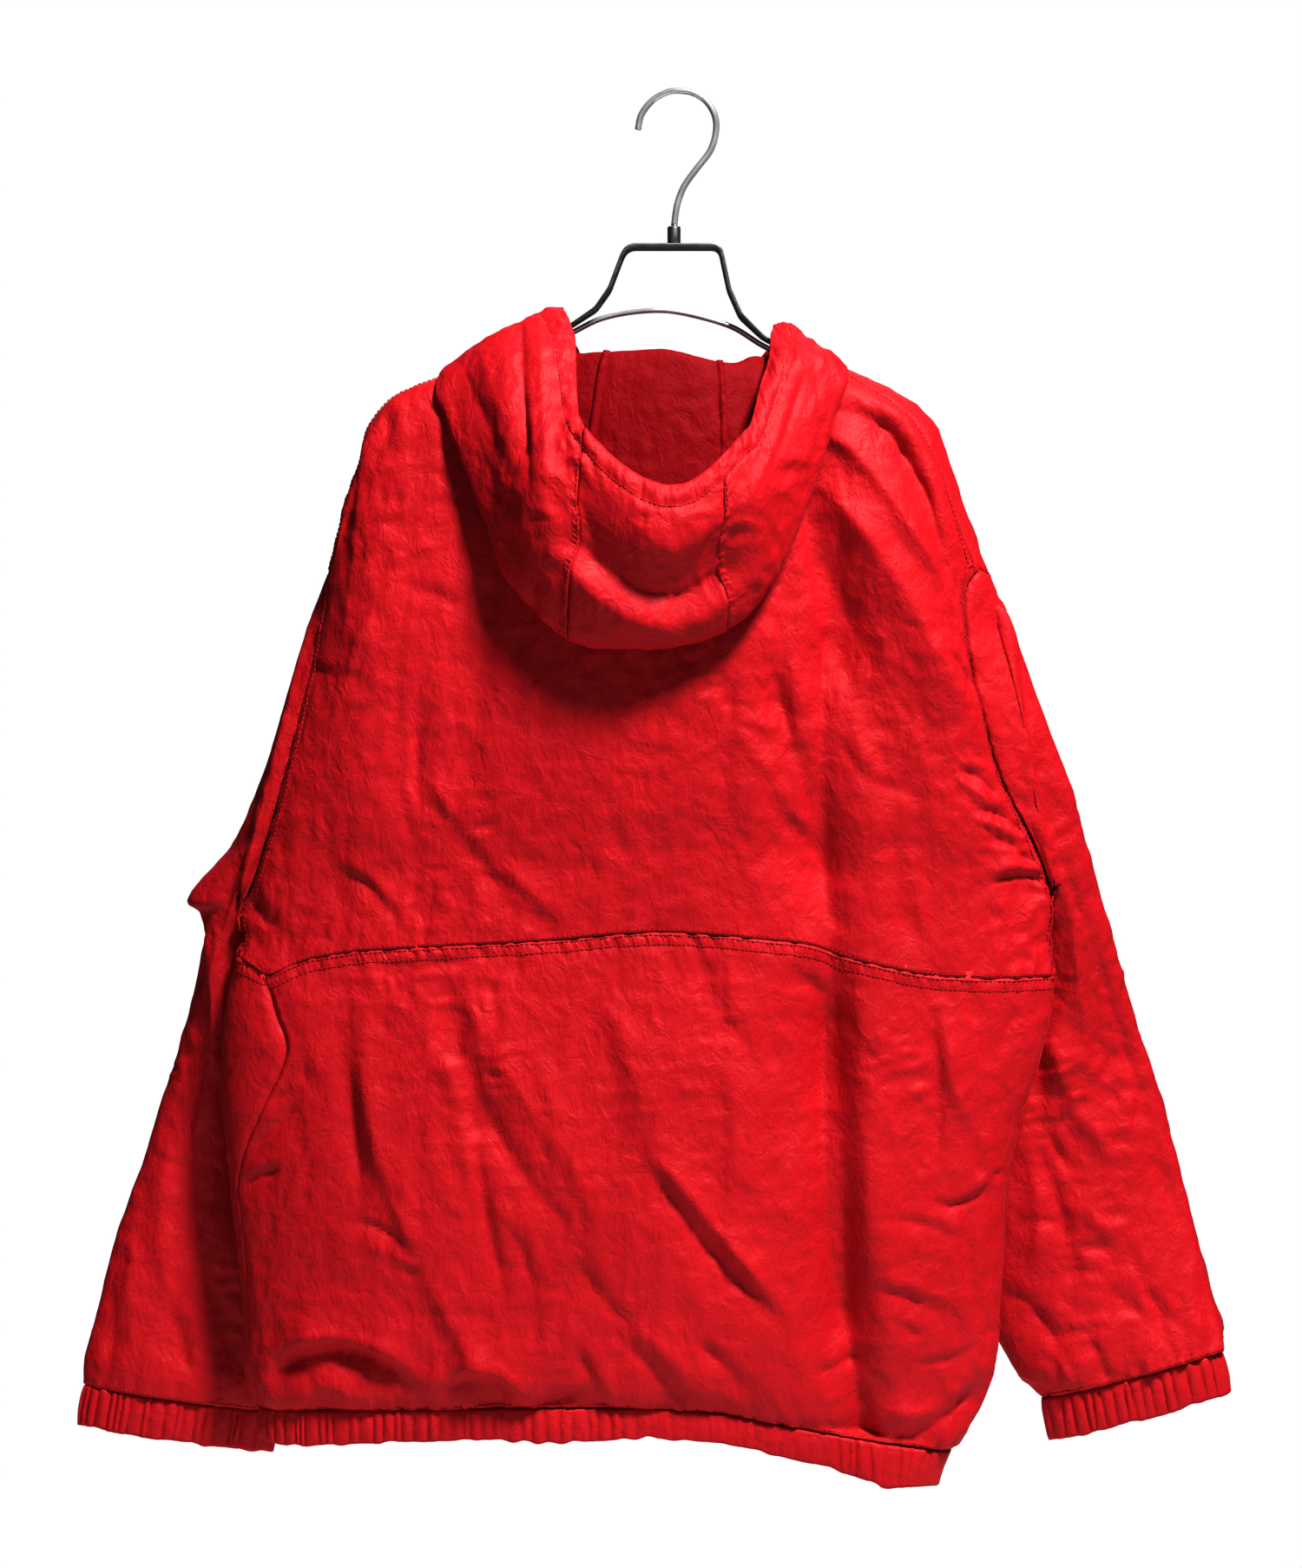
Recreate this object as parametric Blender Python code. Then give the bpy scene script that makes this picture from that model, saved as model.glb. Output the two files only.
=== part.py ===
"""A red pullover anorak that hangs on a metal hanger, seen from its back along +Y.

Every table below is in millimetres: x runs to the right, y from the back of the garment to its
front, z up, with the inner top of the hanger's hook at the origin. A panel of cloth is a patch
between four edge lines with a puff between them, and each wall is WALL thick.
"""
import math

import bmesh
import bpy
from mathutils import Vector
from mathutils.bvhtree import BVHTree

MM = 0.001
WALL = 1.6            # cloth wall
SEAM = 0.3            # space between two sewn pieces
WAIST_GAP = 0.9       # the same at the seam round the waist, where the walls turn a little
CLEAR = 3.4           # least way between the middles of two layers that hang on each other

RED = (0.56, 0.012, 0.022, 1)
STEEL = (0.34, 0.34, 0.36, 1)
WIRE = (0.72, 0.72, 0.74, 1)


# ---------------------------------------------------------------- lines and patches
class Line:
    """A smooth line through rows of numbers, read by its share of length from 0 to 1."""

    def __init__(self, rows, smooth=True):
        self.rows = [Vector(row) for row in rows]
        self.smooth = smooth
        self.reach = [0.0]
        for a, b in zip(self.rows, self.rows[1:]):
            self.reach.append(self.reach[-1] + max((b - a).length, 1e-6))

    def __call__(self, share):
        want = min(max(share, 0.0), 1.0) * self.reach[-1]
        k = 0
        while k < len(self.rows) - 2 and self.reach[k + 1] < want:
            k += 1
        span = self.reach[k + 1] - self.reach[k]
        t = (want - self.reach[k]) / span
        a, b = self.rows[k], self.rows[k + 1]
        if not self.smooth:
            return a.lerp(b, t)
        before = self.slope(k) * span
        after = self.slope(k + 1) * span
        return (a * (2 * t ** 3 - 3 * t ** 2 + 1) + before * (t ** 3 - 2 * t ** 2 + t)
                + b * (3 * t ** 2 - 2 * t ** 3) + after * (t ** 3 - t ** 2))

    def at(self, place):
        """The point at a row's number, also between rows."""
        k = min(int(place), len(self.rows) - 2)
        return self((self.reach[k] + (self.reach[k + 1] - self.reach[k]) * (place - k)) / self.reach[-1])

    def slope(self, k):
        low, high = max(k - 1, 0), min(k + 1, len(self.rows) - 1)
        return (self.rows[high] - self.rows[low]) / (self.reach[high] - self.reach[low])

    @property
    def length(self):
        return self.reach[-1]


class Chain:
    """Lines joined end to end, each with its own share of the way."""

    def __init__(self, *lines_and_ends):
        self.lines = lines_and_ends[0::2]
        self.ends = (0.0,) + lines_and_ends[1::2]

    def __call__(self, share):
        share = min(max(share, 0.0), 1.0)
        for line, low, high in zip(self.lines, self.ends, self.ends[1:]):
            if share <= high:
                return line((share - low) / (high - low))
        return self.lines[-1](1.0)


def read(table, key):
    """The values beside a key in a table of (key, value, ...), also at keys between its rows."""
    rising = table[-1][0] > table[0][0]
    for low, high in zip(table, table[1:]):
        if (key <= high[0]) if rising else (key >= high[0]):
            t = min(max((key - low[0]) / (high[0] - low[0]), 0.0), 1.0)
            return [a + (b - a) * t for a, b in zip(low[1:], high[1:])]
    return list(table[-1][1:])


def patch(top, bottom, left, right, u, v):
    """A point of the patch between four edge lines, which meet at its corners."""
    across = top(u) * (1 - v) + bottom(u) * v
    down = left(v) * (1 - u) + right(v) * u
    low = top(0).lerp(top(1), u)
    high = bottom(0).lerp(bottom(1), u)
    return across + down - low.lerp(high, v)


# ---------------------------------------------------------------- solids
def colour(name, rgba, metal):
    material = bpy.data.materials.new(name)
    material.use_nodes = True
    shader = material.node_tree.nodes["Principled BSDF"]
    shader.inputs["Base Color"].default_value = rgba
    shader.inputs["Roughness"].default_value = 0.3 if metal else 0.7
    shader.inputs["Metallic"].default_value = 1.0 if metal else 0.0
    return material


def solid(name, points, faces, material, wall=None):
    mesh = bpy.data.meshes.new(name)
    mesh.from_pydata([tuple(p * MM) for p in points], [], faces)
    mesh.materials.append(material)
    thing = bpy.data.objects.new(name, mesh)
    bpy.context.scene.collection.objects.link(thing)
    bm = bmesh.new()
    bm.from_mesh(mesh)
    bmesh.ops.recalc_face_normals(bm, faces=bm.faces)
    bm.to_mesh(mesh)
    bm.free()
    if wall:
        shell = thing.modifiers.new("cloth wall", "SOLIDIFY")
        shell.thickness = wall * MM
        shell.offset = 0.0
    return thing


def cloth(name, rows, material, ring=False, wall=WALL):
    """A cloth wall on rows of points, closed round when ring is set."""
    wide = len(rows[0])
    points = [p for row in rows for p in row]
    faces = []
    for i in range(len(rows) - 1):
        for j in range(wide if ring else wide - 1):
            k = (j + 1) % wide
            faces.append((i * wide + j, i * wide + k, (i + 1) * wide + k, (i + 1) * wide + j))
    return solid(name, points, faces, material, wall)


def bar(name, path, half_wide, half_thick, material, sides=8, flat=False):
    """A closed bar along a path in the XZ plane; half_wide is a number or one for each point."""
    points, faces = [], []
    for k, here in enumerate(path):
        along = (path[min(k + 1, len(path) - 1)] - path[max(k - 1, 0)]).normalized()
        up = Vector((-along.z, 0, along.x))
        wide = half_wide[k] if isinstance(half_wide, list) else half_wide
        if flat:
            corners = [(-wide, -half_thick), (wide, -half_thick), (wide, half_thick), (-wide, half_thick)]
        else:
            corners = [(wide * math.cos(math.tau * n / sides), half_thick * math.sin(math.tau * n / sides))
                       for n in range(sides)]
        points += [here + Vector((0, 1, 0)) * a + up * b for a, b in corners]
    n = 4 if flat else sides
    for k in range(len(path) - 1):
        for j in range(n):
            faces.append((k * n + j, k * n + (j + 1) % n, (k + 1) * n + (j + 1) % n, (k + 1) * n + j))
    faces.append(tuple(range(n)))
    faces.append(tuple((len(path) - 1) * n + j for j in range(n)))
    return solid(name, points, faces, material)


# ---------------------------------------------------------------- hanger
HOOK_R = 2.1          # radius of the hook's wire
HOOK = (              # x, z of the wire's middle line, from its tip round to the neck
    (-27.4, -23.4), (-25.0, -13.5), (-17.5, -4.0), (-7.5, 1.4), (0.0, 2.1), (9.5, 0.4), (18.5, -6.0),
    (23.6, -16.0), (23.6, -26.5), (20.0, -37.5), (10.5, -50.0), (2.8, -61.0), (-1.6, -73.0), (-3.6, -86.6))
COLLAR = (-3.7, -87.2, -98.6, 4.3)      # x, top, bottom, radius
STRIP_THICK = 2.5
STRIP = (             # x, z, half depth of the bent strip's middle line, from one arm's end to the other
    (-190.0, -212.5, 7.0), (-150.0, -192.3, 7.0), (-110.0, -172.2, 6.0), (-84.0, -159.2, 4.5),
    (-71.5, -152.6, 5.5), (-55.0, -141.6, 9.0), (-46.0, -128.8, 11.0), (-37.6, -106.6, 11.0),
    (-35.2, -102.6, 11.0), (-31.0, -100.6, 11.0), (23.6, -100.6, 11.0), (27.0, -103.4, 11.0),
    (32.4, -128.8, 11.0), (40.0, -146.0, 11.0), (54.0, -159.6, 7.0), (68.0, -167.9, 4.5),
    (96.0, -182.2, 5.0), (124.0, -199.5, 5.0), (146.0, -213.0, 5.0))
ROD_R = 1.8
ROD = (               # x, z of the arched rod below the strip's mouth
    (-100.0, -170.9), (-86.0, -164.2), (-70.5, -156.8), (-52.0, -147.8), (-30.0, -143.2), (-8.5, -142.4),
    (13.0, -146.4), (35.0, -153.4), (54.0, -165.0), (68.0, -171.9), (80.0, -177.6))


def build_hanger(steel, wire):
    smooth = Line([(x, 0, z) for x, z in HOOK])
    bar("hanger_hook", [smooth(k / 34) for k in range(35)], HOOK_R, HOOK_R, wire, sides=8)
    x, top, bottom, r = COLLAR
    bar("hanger_collar", [Vector((x, 0, top)), Vector((x, 0, bottom))], r, r, steel, sides=16)
    bar("hanger_strip", [Vector((x, 0, z)) for x, z, wide in STRIP], [wide for x, z, wide in STRIP],
        STRIP_THICK / 2, steel, flat=True)
    smooth = Line([(x, 0, z) for x, z in ROD])
    bar("hanger_rod", [smooth(k / 20) for k in range(21)], ROD_R, ROD_R, wire, sides=8)


# ---------------------------------------------------------------- body: shared edge lines
ARMHOLE = {           # half of an armhole from its top to the armpit: x, y, z
    ("left", "back"): ((-230, -1, -313.5), (-233, -9, -337), (-240, -13, -377), (-248, -13, -410),
                       (-257, -12, -445), (-264, -10, -472), (-272, -7, -497), (-279, -4, -520),
                       (-288, 0, -540)),
    ("left", "front"): ((-230, -1, -313.5), (-228, 9, -340), (-227, 17, -385), (-230, 21, -425),
                        (-238, 21, -460), (-251, 17, -490), (-267, 11, -513), (-279, 5, -528),
                        (-288, 0, -540)),
    ("right", "back"): ((196, -9, -313.5), (187.5, -13, -324), (186.5, -15, -349), (191, -16, -384),
                        (199, -15, -415), (207, -13, -445), (222, -9, -475), (233, -6, -497),
                        (239, -3, -514), (243, 0, -528)),
    ("right", "front"): ((196, -9, -313.5), (204, 0, -318), (202, 10, -335), (198, 17, -367),
                         (197, 21, -405), (200, 22, -440), (208, 19, -468), (219, 13, -492),
                         (231, 6, -512), (243, 0, -528)),
}
SHOULDER_LEFT = ((-230, -1, -313.5), (-225, -1, -293.5), (-217, -1, -263), (-210, -1, -243), (-205, -1, -222),
                 (-198, -1, -208), (-182, -1, -197), (-156, -1, -187.5), (-116, -1, -167.5), (-86, -1, -152.5))
SHOULDER_RIGHT = ((72, -1, -163), (93, -5, -175), (113, -9, -187), (133, -11, -200), (159, -12.5, -222),
                  (171.6, -12.5, -254), (183, -12, -287), (196, -9, -313.5))
NECK_BACK = ((-86, -1, -152.5), (-85, -10, -156), (-76, -17, -172), (-60, -22, -187), (-36, -26, -197),
             (-10, -27, -201), (18, -25, -198), (42, -20, -190), (60, -15, -178), (70, -11.5, -167), (72, -1, -163))
NECK_FRONT = ((-86, -1, -152.5), (-85, 11.5, -156.4), (-80.5, 17, -174), (-72, 21.5, -193), (-57, 26, -213),
              (-36, 31, -230), (-7, 33, -240), (22, 31, -233), (45, 25.5, -214), (58, 21, -196), (66.5, 17, -180),
              (70.5, 11.5, -167.4), (72, -1, -163))
UNDERARM = {          # from the armpit to the ends of the seam across the body: x, y, z
    "left": ((-288, 0, -540), (-285.5, 0, -548), (-286, 0, -557), (-290, 0, -567)),
    "right": ((243, 0, -528), (240.5, 0, -537), (241.5, 0, -550), (245, 0, -579)),
}
WAIST_BACK = (        # seam across the back: x, z
    (-290, -566), (-268, -579), (-245, -567.7), (-212, -562), (-178, -560), (-82, -554.6), (-36, -550), (-2, -549),
    (33, -552), (84, -557.5), (124, -570.6), (164, -578), (205, -580.3), (245, -579))
HEM_TOP = (           # casing's stitch line round the body: x, z
    (-284, -861), (-200, -859.5), (-120, -857.5), (-22, -857), (30, -861.5), (80, -872), (130, -881),
    (182, -888), (198, -889))
SIDES = (             # z, left outline, right outline, back depth, front depth of the body below the armpits
    (-540, -288, 254, 38, 27), (-567, -291, 247, 40, 28), (-604, -299, 243, 43, 29), (-640, -300, 234, 46, 29),
    (-677, -299, 222, 48, 29), (-714, -295, 215, 50, 29), (-748, -291, 213.5, 50, 29),
    (-793, -286.5, 210, 48, 29), (-825, -286, 208.5, 46, 29), (-845, -284, 205, 42, 28),
    (-857, -277, 201, 34, 25), (-889, -262, 196, 33, 24), (-912, -258, 178, 33, 24))
SEAM_LEFT = (         # share of the way down the lower body, degrees from the back to the left side seam
    (0.0, -66), (0.08, -61), (0.22, -56), (0.5, -58), (1.0, -64))
SIDE_LEFT, SIDE_RIGHT = -90, 90


def ring_point(degrees, z):
    """A point of the lower body: 0 degrees at the middle of the back, 90 at the right side."""
    left, right, back, front = read(SIDES, z)
    a = math.radians(degrees)
    depth = back if math.cos(a) > 0 else front
    square = math.copysign(abs(math.cos(a)) ** 0.8, math.cos(a))
    return Vector(((left + right) / 2 + (right - left) / 2 * math.sin(a), -depth * square, z))


def level(table, degrees):
    """The point of the lower body on a line that runs round it at the table's height for its x."""
    z = table[0][1]
    for _ in range(6):
        z = read(table, ring_point(degrees, z).x)[0]
    return ring_point(degrees, z)


def waist(degrees):
    on_back = SIDE_LEFT <= degrees <= SIDE_RIGHT or degrees >= SIDE_LEFT + 360
    table = WAIST_BACK if on_back else ((-290, -566), (-268, -577), (0, -583), (245, -579))
    return level(table, degrees)


UPPER_V = 0.86        # share of an upper panel's side that is armhole
ARM_STEPS = (0, 0.014, 0.037, 0.074, 0.13, 0.2, 0.28, 0.37, 0.46, 0.55, 0.64, 0.73, 0.81, 0.9, 1.0)


PART_WAY = {          # how far each upper panel's own edge keeps from the line it shares, x, y, z
    ("left", "back"): (0.25, -0.95, 0), ("left", "front"): (-0.25, 0.95, 0),
    ("right", "back"): (-0.25, -0.9, -0.15), ("right", "front"): (0.25, 0.9, 0.15),
}


def side_line(side, half):
    end = waist(SIDE_LEFT if side == "left" else SIDE_RIGHT)
    wide = Vector(PART_WAY[side, half])       # at the shoulder, where the walls stand steep
    near = Vector((wide.x, wide.y * 0.3, wide.z))
    armhole = [Vector(p) + wide.lerp(near, min(1.0, k / 2)) for k, p in enumerate(ARMHOLE[side, half])]
    under = Line([Vector(p) + near for p in UNDERARM[side][:-1]] + [end + near])
    return Chain(Line(armhole), UPPER_V, under, 1.0)


def spread(start, end, count):
    """Degrees round the body for a panel's columns, closer together at its sides."""
    shares = [0.55 * k / count + 0.45 * (0.5 - 0.5 * math.cos(math.pi * k / count)) for k in range(count + 1)]
    return [start + (end - start) * share for share in shares]


COLUMNS_BACK = [-90, -82, -74, -66] + spread(-66, 90, 27)[1:]
COLUMNS_FRONT = spread(90, 270, 26)
INSET = 0.2           # degrees from a side seam to a panel's edge


def inside(columns):
    """The columns with the first and last one moved in from the seams."""
    return [columns[0] + INSET] + columns[1:-1] + [columns[-1] - INSET]


def upper_rows():
    inset = WAIST_GAP / 2 / 400
    rows = [UPPER_V * s for s in ARM_STEPS] + [0.93, 1.0]
    return [min(v, 1 - inset) for v in rows]


SHOULDER_PUFF = (     # v; y and z on the back's shoulders, front's left shoulder, front's right shoulder
    (0.0, 0, 0, 0, 0, 0, 0),
    (0.0129, -6, 4.2, 6, 4.2, 6, 8),
    (0.0344, -11, 9, 11, 9, 14, 17),
    (0.0688, -14, 13, 15, 14, 21, 27),
    (0.12, -15, 10, 17, 12, 25, 27),
    (0.19, -15, 5, 17, 7, 26, 17),
    (0.27, -14, 0, 16, 2, 24, 8),
    (0.36, -13, 0, 14, 0, 20, 2),
    (0.55, -9, 0, 10, 0, 13, 0),
    (0.8, -4, 0, 4, 0, 5, 0),
    (1.0, 0, 0, 0, 0, 0, 0))
NECK_PUFF = (         # v; y of the back, y of the front below the neck
    (0.0, 0, 0), (0.2, -5, 6), (0.4, -7, 7), (0.7, -5, 4), (1.0, 0, 0))


def top_line(half):
    """Shoulder, neck and shoulder as one line, set off from the shoulder seams."""
    west, east = Vector(PART_WAY["left", half]), Vector(PART_WAY["right", half])
    neck = NECK_BACK if half == "back" else NECK_FRONT
    rows = [Vector(p) + west for p in SHOULDER_LEFT] + [Vector(p) for p in neck[1:-1]]
    return Line(rows + [Vector(p) + east for p in SHOULDER_RIGHT], smooth=False)


def smooth_step(low, high, t):
    t = min(max((t - low) / (high - low), 0.0), 1.0)
    return t * t * (3 - 2 * t)


def upper_puff(half, u, v, neck):
    """How far a point of an upper panel is pushed out, in y and z."""
    here = read(SHOULDER_PUFF, v)
    middle = read(NECK_PUFF, v)[0 if half == "back" else 1]
    if half == "back":
        left, right = here[0:2], here[0:2]
    else:
        left, right = here[2:4], here[4:6]
    west = 1 - 0.25 * smooth_step(neck[0] - 0.05, neck[0], u) - 0.75 * smooth_step(neck[0], neck[0] + 0.03, u)
    east = 0.75 * smooth_step(neck[1] - 0.03, neck[1], u) + 0.25 * smooth_step(neck[1], neck[1] + 0.05, u)
    high_west, high_east = 1 - smooth_step(neck[0] - 0.12, neck[0], u), smooth_step(neck[1], neck[1] + 0.12, u)
    slow = smooth_step(0, 0.22, u) * smooth_step(0, 0.22, 1 - u)
    quick = min(1.0, 16 * u, 16 * (1 - u))
    fade = quick + (slow - quick) * smooth_step(0.0, 0.15, v)
    y = left[0] * west + right[0] * east + middle * (1 - west - east)
    return Vector((0, y * fade, (left[1] * high_west + right[1] * high_east) * fade))


NECK_COLUMNS = {      # columns at the left shoulder's end, the neckline's turn, its other turn, the right shoulder
    "back": (10, 11, 20, 21), "front": (8, 9, 17, 18)}


def pins(shares, columns, wanted):
    """Moves these columns onto the wanted shares of a line and the others between them."""
    pairs = [(0.0, 0.0)] + [(shares[k], want) for k, want in zip(columns, wanted)] + [(1.0, 1.0)]
    return lambda u: read(pairs, u)[0]


def upper_panel(half):
    top = top_line(half)
    start, end = (-90, 90) if half == "back" else (270, 90)
    way = inside(COLUMNS_BACK if half == "back" else COLUMNS_FRONT)
    left, right = side_line("left", half), side_line("right", half)
    west = Line(SHOULDER_LEFT, smooth=False).length / top.length
    east = 1 - Line(SHOULDER_RIGHT, smooth=False).length / top.length

    def bottom(u):
        return waist(start + (end - start) * (math.acos(1 - 2 * u) / math.pi))

    way = way if half == "back" else way[::-1]
    shares = [0.5 - 0.5 * math.cos(math.pi * (degrees - start) / (end - start)) for degrees in way]
    corner = (10.5 if half == "back" else 16.0) / top.length        # the neckline turns down here
    pinned = pins(shares, NECK_COLUMNS[half], (west, west + corner, east - corner, east))

    def upper_edge(u):
        return top(pinned(u))

    rows = []
    for v in upper_rows():
        row = []
        for u in shares:
            p = patch(upper_edge, bottom, left, right, u, v) + upper_puff(half, pinned(u), v, (west, east))
            row.append(p)
        rows.append(row)
    return rows


def lower_panel(half):
    """Below the waist the left side seam wanders over the back, and the columns go with it."""
    inset_v = WAIST_GAP / 2 / 290
    top_seam = SEAM_LEFT[0][1]
    if half == "back":
        columns = [d for d in COLUMNS_BACK if d >= top_seam]
    else:
        columns = COLUMNS_FRONT + [d + 360 for d in COLUMNS_BACK if SIDE_LEFT < d <= top_seam]
    rows = []
    for k in range(11):
        v = inset_v + (1 - 2 * inset_v) * (k / 10)
        row = []
        shift = read(SEAM_LEFT, v)[0] - top_seam
        for degrees in inside(columns):
            degrees += shift * (1 - abs(degrees - (top_seam if half == "back" else top_seam + 360))
                                / (SIDE_RIGHT - top_seam if half == "back" else top_seam + 360 - SIDE_RIGHT))
            z = waist(degrees).z * (1 - v) + level(HEM_TOP, degrees).z * v
            row.append(ring_point(degrees, z))
        rows.append(row)
    return rows


def surface(panels):
    """The middles of all the panels' walls as one tree whose normals point out of the body."""
    points, faces = [], []
    for name, rows in panels.items():
        wide, start = len(rows[0]), len(points)
        points += [p for row in rows for p in row]
        own = [(start + i * wide + j, start + i * wide + j + 1, start + (i + 1) * wide + j + 1,
                start + (i + 1) * wide + j) for i in range(len(rows) - 1) for j in range(wide - 1)]
        a, b, c, _ = (points[k] for k in own[len(own) // 2 + wide // 2])
        if ((b - a).cross(c - a).y > 0) != name.startswith("front"):
            own = [face[::-1] for face in own]
        faces += own
    return BVHTree.FromPolygons(points, faces)


def keep_off(p, tree, room, under=0.0):
    """Moves a point out until it is this far from the surface, also from as far under it as is said."""
    near, normal, _, way = tree.find_nearest(p)
    above = (p - near).dot(normal)
    if above < -0.8 * way and way < under:
        return near + normal * room
    if way < room:
        out = (p - near) + normal * (1.5 * max(0.0, 1.0 - above))
        return near + out.normalized() * room
    return p


def build_body(red):
    """The four panels and the hem; gives back the panels, their surface and the two edges at the neck."""
    panels = {"back_upper": upper_panel("back"), "front_upper": upper_panel("front"),
              "back_lower": lower_panel("back"), "front_lower": lower_panel("front")}
    for name, rows in panels.items():
        cloth(name, rows, red)
    build_hem(red)
    return panels, surface(panels), {half: neck_edge(half, panels[half + "_upper"][0]) for half in ("back", "front")}


# ---------------------------------------------------------------- gathered casings
HEM_HIGH = 23.0
HEM_GATHERS = 60
GATHER = 1.7          # height of a gather


def build_hem(red):
    """The elastic casing: narrow grooves between round gathers, three points to each."""
    rows = [[], [], []]
    for k in range(HEM_GATHERS):
        for part, push in ((0.0, -1.0), (0.36, 0.75), (0.68, 0.6)):
            uneven = 0.12 * math.sin(k * 2.4)
            degrees = -90 + 360 * (k + part + uneven) / HEM_GATHERS
            top = level(HEM_TOP, degrees)
            low = read(HEM_BOTTOM, top.x)[0]
            out = Vector((math.sin(math.radians(degrees)) * 0.6, -math.cos(math.radians(degrees)), 0))
            high = GATHER * (0.75 + 0.35 * math.sin(k * 1.7))
            rows[0].append(top + Vector((0, 0, -1.3)) + out * (push * high * 0.6 - 0.5))
            rows[1].append(top.lerp(Vector((top.x, top.y, low)), 0.5) + out * (push * high + 1.2))
            rows[2].append(Vector((top.x, top.y, low)) + out * (push * high - 0.5))
    cloth("hem_band", rows, red, ring=True)


HEM_BOTTOM = (        # x, z
    (-284, -880), (-256, -885), (-192, -881), (-136, -878), (-79, -880.6), (-22, -876.7), (12.5, -879),
    (35, -882), (57, -887), (83, -893), (108, -900.6), (123, -906), (132, -911), (198, -912))


# ---------------------------------------------------------------- sleeves and cuffs
SLEEVE = {            # outer fold x, y, z, inner fold x, y, z, half depth of the flat sleeve
    "left": ((-243, 4, -345, -294, 4, -551, 17),
             (-272, 12, -440, -302.5, 14, -580.5, 18),
             (-292, 17, -487, -305, 19, -603.5, 18),
             (-317, 22, -529, -302, 24, -629, 18),
             (-316, 26, -552, -301, 30, -652, 18),
             (-321, 30, -585, -296, 35, -680, 18),
             (-331, 33, -624, -284, 41, -706, 19),
             (-343.7, 35, -662, -258, 48, -732, 20),
             (-357, 36, -705, -235, 54, -768, 21),
             (-374, 36, -752, -226, 56, -806, 22),
             (-389.5, 33, -815, -243, 54, -848, 21),
             (-394.5, 30, -851.5, -268, 50, -872, 19)),
    "right": ((214, -4, -338, 248, 4, -538, 17),
              (227, 1, -374, 252, 9, -552, 17),
              (244, 7, -420, 254.5, 14, -570, 17),
              (261, 13, -470, 255, 20, -592, 17),
              (278, 20, -526, 249, 28, -616, 17),
              (286.5, 24, -554, 241, 36, -638, 17),
              (294.7, 28, -581, 226, 43, -661, 18),
              (304.4, 32, -614, 195, 51, -686, 19),
              (315, 35, -645, 168, 56, -708, 20),
              (328, 37, -690, 172, 57, -743, 21),
              (344, 36, -752, 192, 54, -786, 22),
              (356.5, 31, -808, 217, 48, -831, 21),
              (359.5, 27, -829, 243, 44, -862, 19)),
}
CUFF_PLEATS = 22
CUFF = {              # wrist fold x, y, z and inner fold x, y, z at the bottom, for each cuff
    "left": ((-399, 30, -878), (-272, 49, -899)),
    "right": ((365.5, 27, -856), (248, 44, -891)),
}


def arm_ring(fold, inner, depth, count_steps):
    """A flattened ring: from the outer fold along the back to the inner fold and back in front."""
    middle, half = (fold + inner) / 2, (fold - inner) / 2
    out = half.cross(Vector((half.z, 0, -half.x))).normalized()
    if out.y > 0:
        out.negate()
    return [middle + half * math.cos(math.pi * share) + out * (sign * depth * math.sin(math.pi * share))
            for share, sign in count_steps]


def arm_steps():
    return [(s, 1) for s in ARM_STEPS] + [(s, -1) for s in reversed(ARM_STEPS[1:-1])]


def seam_space(away, inward):
    """Space that keeps two walls SEAM apart where they meet at an angle."""
    bend = away.angle(-inward, 0.0)
    return SEAM + 0.1 + min(WALL * math.tan(bend / 2), 1.9)


def armhole_row(side, panels):
    """The armhole's points, and at each the way into the body."""
    edge, inner = (0, 1) if side == "left" else (-1, -2)
    points, inward = [], []
    for k, (share, sign) in enumerate(arm_steps()):
        number = ARM_STEPS.index(share)
        rows = [panels["back_upper"][number], panels["front_upper"][number]]
        if 0 < share < 1:
            rows = rows[:1] if sign > 0 else rows[1:]
        points.append(sum((row[edge] for row in rows), Vector()) / len(rows))
        inward.append(sum((row[inner] - row[edge] for row in rows), Vector()))
    return points, inward


def clear_between(row, starts, body):
    """Moves pairs of neighbours out until the middle between them is off the body too."""
    for _ in range(3):
        for k in starts:
            middle = (row[k] + row[k + 1]) / 2
            push = keep_off(middle, body, 2.3) - middle
            row[k] = row[k] + push
            row[k + 1] = row[k + 1] + push


def build_sleeve(side, body, panels, red):
    armhole, inward = armhole_row(side, panels)
    rings = [arm_ring(Vector(row[0:3]), Vector(row[3:6]), row[6], arm_steps()) for row in SLEEVE[side]]
    rings = [[keep_off(p, body, 2.6 if k == 0 else CLEAR) for p in ring] for k, ring in enumerate(rings)]
    first, halfway, count = [], [], len(armhole)
    for k, (p, q) in enumerate(zip(armhole, rings[0])):
        seam = (armhole[(k + 1) % count] - armhole[k - 1]).normalized()
        away = (q - p).normalized()
        low = smooth_step(0.7, 1.0, arm_steps()[k][0])      # beside the body's own side below the armpit
        away.x += (1.6 if side == "right" else -1.6) * low
        away = (away - seam * away.dot(seam)).normalized()
        into = (inward[k] - seam * inward[k].dot(seam)).normalized()
        p += away * (seam_space(away, into) + 1.0 * low)
        first.append(keep_off(p, body, 0.4 + 1.6 * low))
        beside = Vector(((1.2 if side == "right" else -1.2) * low, 0, 0))
        halfway.append(keep_off(p.lerp(q, 0.4) + beside, body, 2.2))
    armpit = ARM_STEPS.index(1.0)
    clear_between(first, range(armpit, armpit + 1), body)
    clear_between(halfway, range(armpit, armpit + 2), body)
    cloth("sleeve_" + side, [first, halfway] + rings, red, ring=True)
    build_cuff(side, red)


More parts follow.
